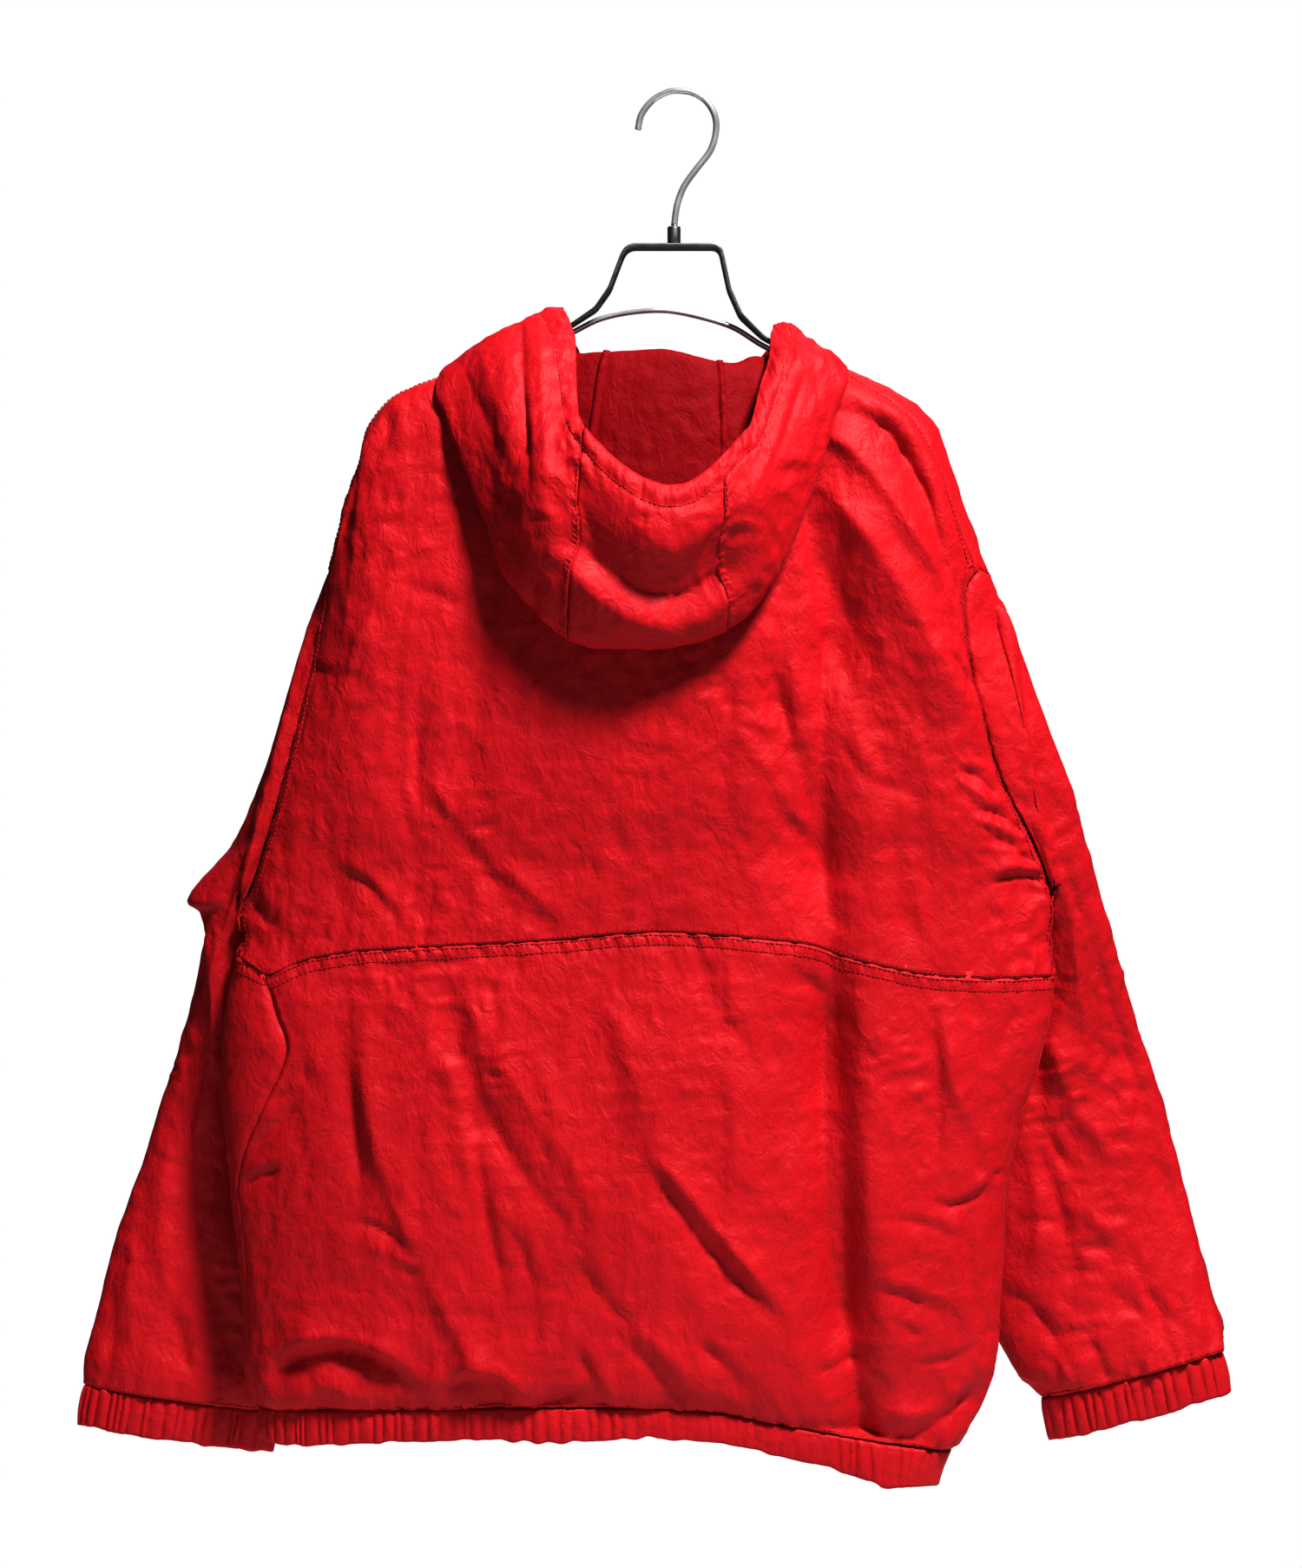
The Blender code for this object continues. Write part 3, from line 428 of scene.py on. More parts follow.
CUFF = {              # wrist fold x, y, z and inner fold x, y, z at the bottom, for each cuff
    "left": ((-399, 30, -878), (-272, 49, -899)),
    "right": ((365.5, 27, -856), (248, 44, -891)),
}


def arm_ring(fold, inner, depth, steps):
    """A flattened ring: from the outer fold along the back to the inner fold and back in front."""
    middle, half = (fold + inner) / 2, (fold - inner) / 2
    out = half.cross(Vector((half.z, 0, -half.x))).normalized()
    if out.y > 0:
        out.negate()
    return [middle + half * math.cos(math.pi * share) + out * (sign * depth * math.sin(math.pi * share))
            for share, sign in steps]


def arm_steps():
    return [(s, 1) for s in ARM_STEPS] + [(s, -1) for s in reversed(ARM_STEPS[1:-1])]


def seam_space(away, inward):
    """Space that keeps two walls SEAM apart where they meet at an angle."""
    bend = away.angle(-inward, 0.0)
    return SEAM + 0.1 + min(WALL * math.tan(bend / 2), 1.9)


def armhole_row(side, panels):
    """The armhole's points, and at each the way into the body."""
    edge, inner = (0, 1) if side == "left" else (-1, -2)
    points, inward = [], []
    for share, sign in arm_steps():
        number = ARM_STEPS.index(share)
        rows = [panels["back_upper"][number], panels["front_upper"][number]]
        if 0 < share < 1:
            rows = rows[:1] if sign > 0 else rows[1:]
        points.append(sum((row[edge] for row in rows), Vector()) / len(rows))
        inward.append(sum((row[inner] - row[edge] for row in rows), Vector()))
    return points, inward


def clear_between(row, starts, body):
    """Moves pairs of neighbours out until the middle between them is off the body too."""
    for _ in range(3):
        for k in starts:
            middle = (row[k] + row[k + 1]) / 2
            push = keep_off(middle, body, 2.3) - middle
            row[k] = row[k] + push
            row[k + 1] = row[k + 1] + push


def build_sleeve(side, body, panels):
    armhole, inward = armhole_row(side, panels)
    rings = [arm_ring(Vector(row[0:3]), Vector(row[3:6]), row[6], arm_steps()) for row in SLEEVE[side]]
    rings = [[keep_off(p, body, 2.6 if k == 0 else CLEAR) for p in ring] for k, ring in enumerate(rings)]
    first, halfway, count = [], [], len(armhole)
    for k, (p, q) in enumerate(zip(armhole, rings[0])):
        seam = (armhole[(k + 1) % count] - armhole[k - 1]).normalized()
        away = (q - p).normalized()
        low = smooth_step(0.7, 1.0, arm_steps()[k][0])      # beside the body's own side below the armpit
        away.x += (1.6 if side == "right" else -1.6) * low
        away = (away - seam * away.dot(seam)).normalized()
        into = (inward[k] - seam * inward[k].dot(seam)).normalized()
        p += away * (seam_space(away, into) + 1.0 * low)
        first.append(keep_off(p, body, 0.4 + 1.6 * low))
        beside = Vector(((1.2 if side == "right" else -1.2) * low, 0, 0))
        halfway.append(keep_off(p.lerp(q, 0.4) + beside, body, 2.2))
    armpit = ARM_STEPS.index(1.0)
    clear_between(first, range(armpit, armpit + 1), body)
    clear_between(halfway, range(armpit, armpit + 2), body)
    cloth("sleeve_" + side, [first, halfway] + rings)


# ---------------------------------------------------------------- hood
# Each station runs from the neck seam up to the fold at the neck, down the layer that lies on the
# body, round the bottom fold of the pouch and up the outer layer to the edge of the face opening.
HOOD = (              # place, neck fold xyz, under layer xyz, pouch fold xyz, outer layer xyz, edge xyz
    (-1.00, (-87.5, -2, -147.5), (-91, -3, -147), (-91, -4, -145), (-87, -5, -142.5), (-77, -6, -141)),
    (-0.90, (-88, -11, -153), (-119, -14, -169), (-155, -17, -186), (-115, -23, -159), (-72, -20, -151)),
    (-0.80, (-84, -18, -160), (-117, -27, -181), (-152, -33, -212), (-110, -44, -178), (-68, -32, -164)),
    (-0.62, (-75, -25, -170), (-104, -40, -207), (-139, -46, -248), (-103, -66, -216), (-67, -50, -187)),
    (-0.48, (-66, -30, -174), (-90, -46, -230), (-125, -53, -286), (-95, -80, -242), (-66, -64, -205)),
    (-0.36, (-57, -34, -174), (-78, -50, -255), (-107, -59, -328), (-86, -91, -268), (-65, -74, -215)),
    (-0.26, (-46, -37, -174), (-60, -53, -270), (-72, -63, -361), (-68, -98, -290), (-61, -82, -226)),
    (-0.14, (-30, -38, -173), (-36, -55, -273), (-46, -65, -366), (-44, -104, -308), (-40, -92, -248)),
    (0.00, (-11, -38, -172.5), (-14, -56, -272), (-20, -66, -366), (-19, -107, -316), (-17, -97, -262)),
    (0.14, (8, -38, -176), (8, -55, -270), (6, -65, -363), (6, -104, -310), (5, -95, -262)),
    (0.26, (24, -36, -180), (27, -53, -268), (30, -63, -354), (29, -98, -296), (26, -88, -245)),
    (0.36, (36, -33, -181), (42, -50, -250), (51, -59, -336), (46, -91, -276), (39, -80, -230)),
    (0.48, (47, -28, -176), (57, -45, -226), (69, -53, -304), (58, -80, -252), (45, -70, -222)),
    (0.62, (56, -22, -175), (71, -38, -208), (86, -46, -262), (70, -64, -222), (51, -56, -198)),
    (0.80, (68, -16, -167), (83, -27, -185), (101, -33, -214), (80, -44, -181), (58, -37, -175)),
    (0.90, (73, -9, -163), (87, -11, -175), (108, -17, -184), (85, -26, -166), (59, -22, -162)),
    (1.00, (73.8, -2, -158.3), (77, -3, -157.5), (76.5, -4, -155.5), (72, -5, -154), (62, -6, -153)),
)
HOOD_SEAMS = (-0.26, 0.26)
HOOD_STEPS = (0, 0.5, 1, 1.4, 1.8, 2.3, 2.75, 3, 3.25, 3.7, 4.1, 4.5, 5)    # columns of HOOD, 0 the seam
STAND = (             # place, height and outward lean of the hood where it only stands round the throat
    (1.0, 14, 3), (1.25, 13, 1), (1.45, 17, 3), (1.7, 30, 7), (2.0, 31, 8))
STAND_SHAPE = ((0.2, 0.25), (0.4, 0.6), (0.6, 0.85), (0.8, 0.9), (1.0, 0.6))     # share of height, of lean


def neck_seam(place, edges):
    """The hood's lower edge, just above the body's neckline, and the way it stands up from there.

    Places 1 and -1 are at the shoulders, 2 and -2 at the middle of the throat.
    """
    half = edges["back" if abs(place) <= 1 else "front"]
    shift = place if abs(place) <= 1 else math.copysign(2 - abs(place), place)
    p = half(0.5 + shift / 2)
    along = (half(0.52 + shift / 2) - half(0.48 + shift / 2)).normalized()
    into = Vector((-7 - p.x, 3 - p.y, 0)).normalized() * 0.7 + Vector((0, 0, 1))
    square = (into - along * into.dot(along)).normalized()
    lean = smooth_step(1.05, 1.15, abs(place)) - smooth_step(1.3, 1.8, abs(place))
    return p + square * 1.4, Vector((0, 0, 1)).lerp(square, lean)


def neck_edge(row):
    """The part of a panel's top row that lies along the neck, as a line."""
    corner = (NECK_BACK[0][0] + 0.6, NECK_BACK[-1][0] - 0.6)
    return Line([p for p in row if corner[0] - 1.2 < p.x < corner[1] + 1.2], smooth=False)


HOOD_ROOM = (3.6, 3.6, 5.0, 8.0, 7.0)     # least way off the body of each column of the table


def hood_point(place, step, body, edges):
    """A point of the hood: place across it, step of the way from the neck seam to its edge."""
    seam, rise = neck_seam(place, edges)
    if abs(place) > 1.5:      # the two sides meet at the middle of the throat
        seam.x += math.copysign(0.3, place) * (abs(place) - 1.5) * 2
    drape = min(max(place, -1.0), 1.0)
    k = 0
    while k < len(HOOD) - 2 and HOOD[k + 1][0] < drape:
        k += 1
    low, high = HOOD[k], HOOD[k + 1]
    span = high[0] - low[0]
    t = (drape - low[0]) / span
    before, after = HOOD[max(k - 1, 0)], HOOD[min(k + 2, len(HOOD) - 1)]
    height, lean = read(STAND, abs(place))
    outward = Vector(((seam.x + 7) / 79 ** 2, seam.y / 33 ** 2, 0)).normalized()
    stand = smooth_step(1.0, 1.045, abs(place))
    tracks = [seam]
    for part in range(1, 6):
        a, b = Vector(low[part]), Vector(high[part])
        slope_a = (b - Vector(before[part])) / (high[0] - before[0]) * span
        slope_b = (Vector(after[part]) - a) / (after[0] - low[0]) * span
        p = bend(a, b, slope_a, slope_b, t)
        up, out = STAND_SHAPE[part - 1]
        p = p.lerp(seam + rise * (height * up) + outward * (lean * out), stand)
        under = 25.0 if 1 < part < 5 and stand < 0.1 else 0.0
        tracks.append(keep_off(p, body, HOOD_ROOM[part - 1] * (1 - stand) + 2.6 * stand, under))
    p = Line(tracks).at(step)
    return keep_off(p, body, 2.4, 25.0 if 1.5 < step < 4.5 and stand < 0.1 else 0.0) if step > 0 else p


SIDE_PLACES = (2.0, 1.77, 1.52, 1.4, 1.29, 1.19, 1.09, 1.045, 1.0, 0.975, 0.95, 0.925, 0.9, 0.85, 0.8, 0.73,
               0.66, 0.59, 0.52, 0.45, 0.38, 0.32, 0.2616)


def build_hood(body, edges):
    centre = [HOOD_SEAMS[0] + 0.0016 + (0.52 - 0.0032) * k / 8 for k in range(9)]
    for name, places in (("hood_side_left", [-p for p in SIDE_PLACES]), ("hood_centre", centre),
                         ("hood_side_right", SIDE_PLACES[::-1])):
        cloth(name, [[hood_point(place, step, body, edges) for place in places] for step in HOOD_STEPS])


body_panels, body_surface, neck_edges = build_body()
for arm in ("left", "right"):
    build_sleeve(arm, body_surface, body_panels)
build_hood(body_surface, neck_edges)


# ---------------------------------------------------------------- fine cloth from the solids' forms
def resample(points, count, axis, ring=False):
    """The same surface with this many rows or columns, evenly spaced; also the old row of each new one."""
    if axis == 1:
        points = points.swapaxes(0, 1)
    if ring:
        points = np.concatenate([points[-1:], points, points[:2]])
    steps = np.linalg.norm(np.diff(points, axis=0), axis=-1).mean(axis=1)
    reach = np.concatenate([[0.0], np.cumsum(steps)])
    first, last = (reach[1], reach[-2]) if ring else (0.0, reach[-1])
    want = np.linspace(first, last, count)
    k = np.clip(np.searchsorted(reach, want, side="right") - 1, 0, len(points) - 2)
    span = reach[k + 1] - reach[k]
    t = ((want - reach[k]) / span)[:, None, None]
    low, high = np.maximum(k - 1, 0), np.minimum(k + 2, len(points) - 1)
    a, b = points[k], points[k + 1]
    slope_a = (b - points[low]) / (reach[k + 1] - reach[low])[:, None, None] * span[:, None, None]
    slope_b = (points[high] - a) / (reach[high] - reach[k])[:, None, None] * span[:, None, None]
    fine = bend(a, b, slope_a, slope_b, t)
    old = k + t[:, 0, 0] - (1 if ring else 0)
    return (fine.swapaxes(0, 1) if axis == 1 else fine), old


def facing(points, ring=False, out=None):
    """Unit normals of a grid of points; out says which way they point in the middle, else out of a ring."""
    if ring:
        wide = np.concatenate([points[:, -2:-1], points, points[:, 1:2]], axis=1)
        across = wide[:, 2:] - wide[:, :-2]
    else:
        across = np.gradient(points, axis=1)
    normal = np.cross(across, np.gradient(points, axis=0))
    normal /= np.maximum(np.linalg.norm(normal, axis=-1, keepdims=True), 1e-9)
    if out is None:
        sign = ((points - points.mean(axis=1, keepdims=True)) * normal).sum()
    else:
        sign = (normal * np.array(out)).sum()
    return normal if sign > 0 else -normal


def noise(points, size, seed):
    """Smooth random numbers about 0, one to a point, that change over this many mm along x, y and z."""
    spot = points / np.array(size) + 1000.0
    cell = np.floor(spot).astype(np.int64)
    part = spot - cell
    part = part * part * (3 - 2 * part)
    total = np.zeros(points.shape[:-1])
    for corner in range(8):
        step = np.array([(corner >> k) & 1 for k in range(3)])
        at = cell + step
        mix = at[..., 0] * 73856093 ^ at[..., 1] * 19349663 ^ at[..., 2] * 83492791 ^ seed * 26544357
        mix = (mix ^ (mix >> 13)) * 1274126177 & 0x7FFFFFFF
        value = (mix >> 7 & 0xFFFF) / 32767.5 - 1
        total += value * np.prod(np.where(step == 1, part, 1 - part), axis=-1)
    return total


def reach_from(points, edge):
    """How far each point lies from one edge of the grid, along the cloth: top, bottom, left or right."""
    axis = 0 if edge in ("top", "bottom") else 1
    if edge in ("bottom", "right"):
        points = np.flip(points, axis)
    steps = np.linalg.norm(np.diff(points, axis=axis), axis=-1)
    start = np.zeros_like(np.take(steps, [0], axis))
    far = np.concatenate([start, np.cumsum(steps, axis=axis)], axis=axis)
    return np.flip(far, axis) if edge in ("bottom", "right") else far


def soft(low, high, value):
    """0 up to low and 1 from high on, smooth between them; low may be the larger of the two."""
    t = np.clip((value - low) / (high - low), 0.0, 1.0)
    return t * t * (3 - 2 * t)


def hump(value, middle, wide):
    """1 at the middle value, fading out on both sides over about this width."""
    return np.exp(-((value - middle) / wide) ** 2)


def creases(points, table):
    """Height of the troughs and ridges of a table: three points x, z of each, half width, height."""
    flat = points[..., [0, 2]].reshape(-1, 2)
    total = np.zeros(len(flat))
    for number, row in enumerate(table):
        a, b, c = np.array(row[0:2], float), np.array(row[2:4], float), np.array(row[4:6], float)
        wide, high = row[6:8]
        bend = 2 * b - (a + c) / 2
        t = np.linspace(0, 1, 13)[:, None]
        path = (1 - t) ** 2 * a + 2 * t * (1 - t) * bend + t ** 2 * c
        low, top = path.min(axis=0) - 3.2 * wide, path.max(axis=0) + 3.2 * wide
        near = np.nonzero(((flat > low) & (flat < top)).all(axis=1))[0]
        spot = flat[near]
        best = np.full(len(near), 1e9)
        share = np.zeros(len(near))
        side = np.zeros(len(near))
        for k in range(12):
            p, q = path[k], path[k + 1]
            way = q - p
            s = np.clip(((spot - p) @ way) / (way @ way), 0, 1)
            gap = np.linalg.norm(spot - p - s[:, None] * way, axis=1)
            hit = gap < best
            best[hit] = gap[hit]
            share[hit] = (k + s[hit]) / 12
            side[hit] = np.sign(way[0] * (spot[hit, 1] - p[1]) - way[1] * (spot[hit, 0] - p[0]))
        steep = 0.42 if wide < 13 else 0.25     # the flank that turns down and left is the steeper one
        uneven = 1 + 0.25 * np.sin(share * (7 + number % 4) + number * 1.9)
        gentle = side * np.sign(high) > 0
        d = best / (wide * np.where(gentle, 1 + steep, 1 - steep))
        body = np.exp(-1.1 * d ** np.where(gentle, 1.15, 1.5))
        lip = 0.1 * hump(d, 2.3, 0.9)
        ends = np.minimum(1.0, 0.25 + 3.5 * np.minimum(share, 1 - share))
        total[near] += high * uneven * ends * (body - lip)
    return total.reshape(points.shape[:2])


def crumple(points, seed, large=1.0, small=1.0):
    """Soft hanging unevenness of washed cloth, at three sizes."""
    slow = noise(points, (52, 60, 120), seed)
    fold = 1 - 2 * np.abs(noise(points, (21, 30, 34), seed + 1))
    where = soft(-0.1, 0.7, noise(points, (70, 90, 80), seed + 5))
    bent = points + 9 * noise(points, (30, 30, 30), seed + 8)[..., None]
    crease = 1 - 3 * np.abs(noise(bent, (13, 18, 11), seed + 2))
    fine = noise(points, (4.5, 6, 4.2), seed + 3)
    wrung = points + 5 * noise(points, (16, 20, 16), seed + 6)[..., None]
    sharp = 1 - 3.2 * np.abs(noise(wrung, (8, 12, 15), seed + 7))
    return (1.1 * slow + 0.5 * fold) * large + (1.05 * crease * where + 0.42 * sharp + 0.22 * fine) * small


def pucker(points, edge, seed, pitch=9.0, reach=14.0, high=0.9):
    """Ripples square to a sewn edge, that fade out away from it."""
    along = reach_from(points, "left" if edge in ("top", "bottom") else "top")
    away = reach_from(points, edge)
    spot = np.stack([along, away * 0.3, np.zeros_like(along)], axis=-1)
    ripple = noise(spot, (pitch * 0.5, 8, 8), seed) + 0.5 * noise(spot, (pitch * 0.22, 6, 6), seed + 1)
    room = 0.45 + 0.55 * soft(-0.3, 0.5, noise(spot, (45, 90, 90), seed + 2))
    return high * ripple * room * np.exp(-(away / reach) ** 1.3)


def fade(points, edges):
    """1 on the cloth, down to 0 at the edges of a dict of edge: width of the fade."""
    keep = np.ones(points.shape[:2])
    for edge, wide in edges.items():
        keep *= soft(0, wide, reach_from(points, edge))
    return keep


def tuck(points, normals, edges, under, beyond):
    """One more row past each of these edges, under the neighbour, so that no seam can be seen through."""
    for edge in edges:
        first, second = {"top": (0, 1), "bottom": (-1, -2)}.get(edge, (0, 1) if edge == "left" else (-1, -2))
        if edge in ("top", "bottom"):
            rim, inner, normal = points[first], points[second], normals[first]
        else:
            rim, inner, normal = points[:, first], points[:, second], normals[:, first]
        way = rim - inner
        way /= np.maximum(np.linalg.norm(way, axis=-1, keepdims=True), 1e-9)
        rows = [rim + way * 0.4 - normal * under, rim + way * beyond - normal * (under + 0.6)]
        axis = 0 if edge in ("top", "bottom") else 1
        rows = [np.expand_dims(row, axis) for row in rows]
        same = [np.expand_dims(normal, axis)] * 2
        if first == 0:
            points = np.concatenate(rows[::-1] + [points], axis=axis)
            normals = np.concatenate(same + [normals], axis=axis)
        else:
            points = np.concatenate([points] + rows, axis=axis)
            normals = np.concatenate([normals] + same, axis=axis)
    return points


def lay(name, points, material, ring=False, thick=CLOTH, flip=False):
    """A cloth piece on a grid of points, with the way along the cloth in metres as its UV map."""
    rows, columns = points.shape[:2]
    bm = bmesh.new()
    bmesh.ops.create_grid(bm, x_segments=columns - 1, y_segments=rows - 1, size=1.0)
    mesh = bpy.data.meshes.new(name)
    bm.to_mesh(mesh)
    bm.free()
    spots = np.zeros(len(mesh.vertices) * 3)
    mesh.vertices.foreach_get("co", spots)
    spots = spots.reshape(-1, 3)
    j = np.rint((spots[:, 0] + 1) / 2 * (columns - 1)).astype(int)
    i = np.rint((1 - spots[:, 1]) / 2 * (rows - 1)).astype(int)
    mesh.vertices.foreach_set("co", (points[i, j] * MM).ravel())
    wide = reach_from(points, "left").mean(axis=0) * MM
    down = reach_from(points, "top").mean(axis=1) * MM
    corner = np.zeros(len(mesh.loops), dtype=np.int32)
    mesh.loops.foreach_get("vertex_index", corner)
    layer = mesh.uv_layers.new(name="cloth")
    layer.data.foreach_set("uv", np.stack([wide[j[corner]], -down[i[corner]]], axis=-1).ravel())
    bm = bmesh.new()
    bm.from_mesh(mesh)
    if ring:
        edge = [v for v in bm.verts if v.is_boundary]
        bmesh.ops.remove_doubles(bm, verts=edge, dist=1e-6)
    if flip:
        bmesh.ops.reverse_faces(bm, faces=bm.faces[:])
    for face in bm.faces:
        face.smooth = True
    bm.to_mesh(mesh)
    bm.free()
    mesh.materials.append(material)
    thing = bpy.data.objects.new(name, mesh)
    bpy.context.scene.collection.objects.link(thing)
    shell = thing.modifiers.new("cloth thickness", "SOLIDIFY")
    shell.thickness = thick * MM
    shell.offset = 0.0
    return thing


def flipped(points, normals):
    """Whether the grid's own faces look away from these normals."""
    return bool((np.cross(np.gradient(points, axis=1), -np.gradient(points, axis=0)) * normals).sum() < 0)


def stands_for(thing, node):
    """Ties a piece to the solid that it is shown in place of."""
    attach(thing, "root")
    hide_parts(node)


soft_pieces = []      # every cloth piece that was cut and sewn
grids = {}            # name of a piece: its fine points and their normals, without what is tucked under
laps = {}             # name of a piece: the laps sewn down on it
stitch_paths = []     # name, line and outward way of each row of stitches


def sewn(name, points, normals, tucked, under=0.95, beyond=5.0, ring=False):
    """Lays a cloth piece with its tucked edges and ties it to its solid."""
    final = tuck(points, normals, tucked, under, beyond)
    thing = lay(name + "_cloth", final, red_cloth, ring=ring, flip=flipped(points, normals))
    stands_for(thing, name)
    grids[name] = (points, normals)
    soft_pieces.append(thing)
    return thing


def line_at(points, normals, away):
    """The line on a grid that keeps this far from its top edge, and the normals along it."""
    far = reach_from(points, "top")
    j = np.arange(points.shape[1])
    k = np.array([np.searchsorted(far[:, column], away) for column in j]) - 1
    k = np.clip(k, 0, len(points) - 2)
    t = ((away - far[k, j]) / np.maximum(far[k + 1, j] - far[k, j], 1e-6))[:, None]
    return points[k, j] * (1 - t) + points[k + 1, j] * t, normals[k, j]


def turned(points, normals, edge):
    """The same grid with this edge at its top."""
    if edge in ("left", "right"):
        points, normals = points.swapaxes(0, 1), normals.swapaxes(0, 1)
    return (points[::-1], normals[::-1]) if edge in ("bottom", "right") else (points, normals)


def way_along(line):
    """How far each point of a line lies from its start."""
    return np.concatenate([[0.0], np.cumsum(np.linalg.norm(np.diff(line, axis=0), axis=1))])


def at_reach(want, reach, line):
    """What a line holds at these distances from its start."""
    return np.stack([np.interp(want, reach, line[:, k]) for k in range(3)], axis=-1)


LAP_ROWS = 7
LAP_STEP = 0.78       # way between two columns of a lap's grid
LAP_THICK = 0.3
LAP_HIGH = 0.4        # height of a lap's round middle
RUNG = 3.9            # size of the small puckers between its rows of thread
RUNG_HIGH = 0.6


def lap(name, owner, edge, near, far, seed, part):
    """The sewn-down lap of a seam: a narrow strip with a ladder of small puckers along it."""
    points, normals = turned(*grids[owner], edge)
    lines = [line_at(points, normals, near + (far - near) * n / (LAP_ROWS - 1)) for n in range(LAP_ROWS)]
    reach = way_along(lines[LAP_ROWS // 2][0])
    count = int(reach[-1] * (part[1] - part[0]) / LAP_STEP)
    want = np.linspace(reach[-1] * part[0], reach[-1] * part[1], count)
    mesh = np.array([at_reach(want, reach, line) for line, _ in lines])
    out = np.array([at_reach(want, reach, outward) for _, outward in lines])
    across = np.linspace(0, 1, LAP_ROWS)[:, None]
    run, over = np.broadcast_arrays(want[None, :], across * 2.2)
    spot = np.stack([run, over, 0 * run], axis=-1)
    ladder = noise(spot, (RUNG * 0.42, 9, 9), seed) + 0.4 * noise(spot, (RUNG * 0.2, 2, 9), seed + 1)
    strength = 0.35 + 0.65 * soft(-0.4, 0.4, noise(spot, (38, 90, 90), seed + 2))
    round_over = np.sin(math.pi * (0.04 + 0.92 * across)) ** 0.45
    rungs = RUNG_HIGH * ladder * strength * np.sin(math.pi * across) ** 0.5
    lift = round_over * LAP_HIGH + rungs - 0.35 * (1 - round_over)
    mesh = mesh + out * lift[..., None]
    thing = lay(name, mesh, red_cloth, thick=LAP_THICK, flip=flipped(mesh, out))
    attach(thing, "root")
    laps.setdefault(owner, []).append(thing)
    grids[name] = (mesh, facing(mesh, out=tuple(out.reshape(-1, 3).mean(axis=0))))


def stitches(name, edge, away):
    """A row of thread stitches along a piece, this far in from one of its edges."""
    line, outward = line_at(*turned(*grids[name], edge), away)
    stitch_paths.append((name + "_stitches", line, outward))


STITCH = 3.3          # way from one stitch to the next
THREAD = 0.42         # half the width of the thread
PROUD = 0.55          # height of the thread's middle over the cloth's


def sew_all():
    """Makes every row of stitches: short round lengths of thread that dip into the cloth at both ends."""
    made = {}
    spare = bpy.data.meshes.new("stitches for now")
    for name, line, outward in stitch_paths:
        if name not in made:
            made[name] = bmesh.new()
        batch = bmesh.new()
        reach = way_along(line)
        count = int(reach[-1] / STITCH)
        for n in range(count):
            start = n * STITCH
            first, last = at_reach(np.array([start, start + STITCH * 0.78]), reach, line)
            along = Vector(last - first)
            length = along.length
            if length < 0.5:
                continue
            up = Vector(at_reach(start + STITCH * 0.4, reach, outward)).normalized()
            along.normalize()
            side = up.cross(along).normalized()
            up = along.cross(side)
            middle = Vector((first + last) / 2) + up * PROUD
            turn = Matrix((side, up, along)).transposed().to_4x4()
            stretch = Matrix.Diagonal((THREAD, THREAD * 0.8, length * 0.56, 1))
            place = Matrix.Scale(MM, 4) @ Matrix.Translation(middle) @ turn @ stretch
            bmesh.ops.create_uvsphere(batch, u_segments=6, v_segments=4, radius=1.0, matrix=place)
            if len(batch.verts) > 900 or n == count - 1:
                batch.to_mesh(spare)
                made[name].from_mesh(spare)
                batch.clear()
        batch.free()
    bpy.data.meshes.remove(spare)
    for name, bm in made.items():
        for face in bm.faces:
            face.smooth = True
        thing = piece_from(bm, name, red_thread)
        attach(thing, "root")


def piece_from(bm, name, material):
    mesh = bpy.data.meshes.new(name)
    bm.to_mesh(mesh)
    bm.free()
    mesh.materials.append(material)
    thing = bpy.data.objects.new(name, mesh)
    bpy.context.scene.collection.objects.link(thing)
    return thing


# ---------------------------------------------------------------- materials
class Value:
    """A number that runs through a material, with the usual signs for sums."""

    def __init__(self, tree, socket):
        self.tree = tree
        self.socket = socket

    def sum(self, kind, other=None):
        node = self.tree.nodes.new("ShaderNodeMath")
        node.operation = kind
        for place, item in zip(node.inputs, (self, other)):
            if isinstance(item, Value):
                self.tree.links.new(item.socket, place)
            elif item is not None:
                place.default_value = item
        return Value(self.tree, node.outputs[0])

    def __add__(self, other):
        return self.sum("ADD", other)

    def __sub__(self, other):
        return self.sum("SUBTRACT", other)

    def __mul__(self, other):
        return self.sum("MULTIPLY", other)

    def size(self):
        return self.sum("ABSOLUTE")

    def wave(self):
        return self.sum("SINE")


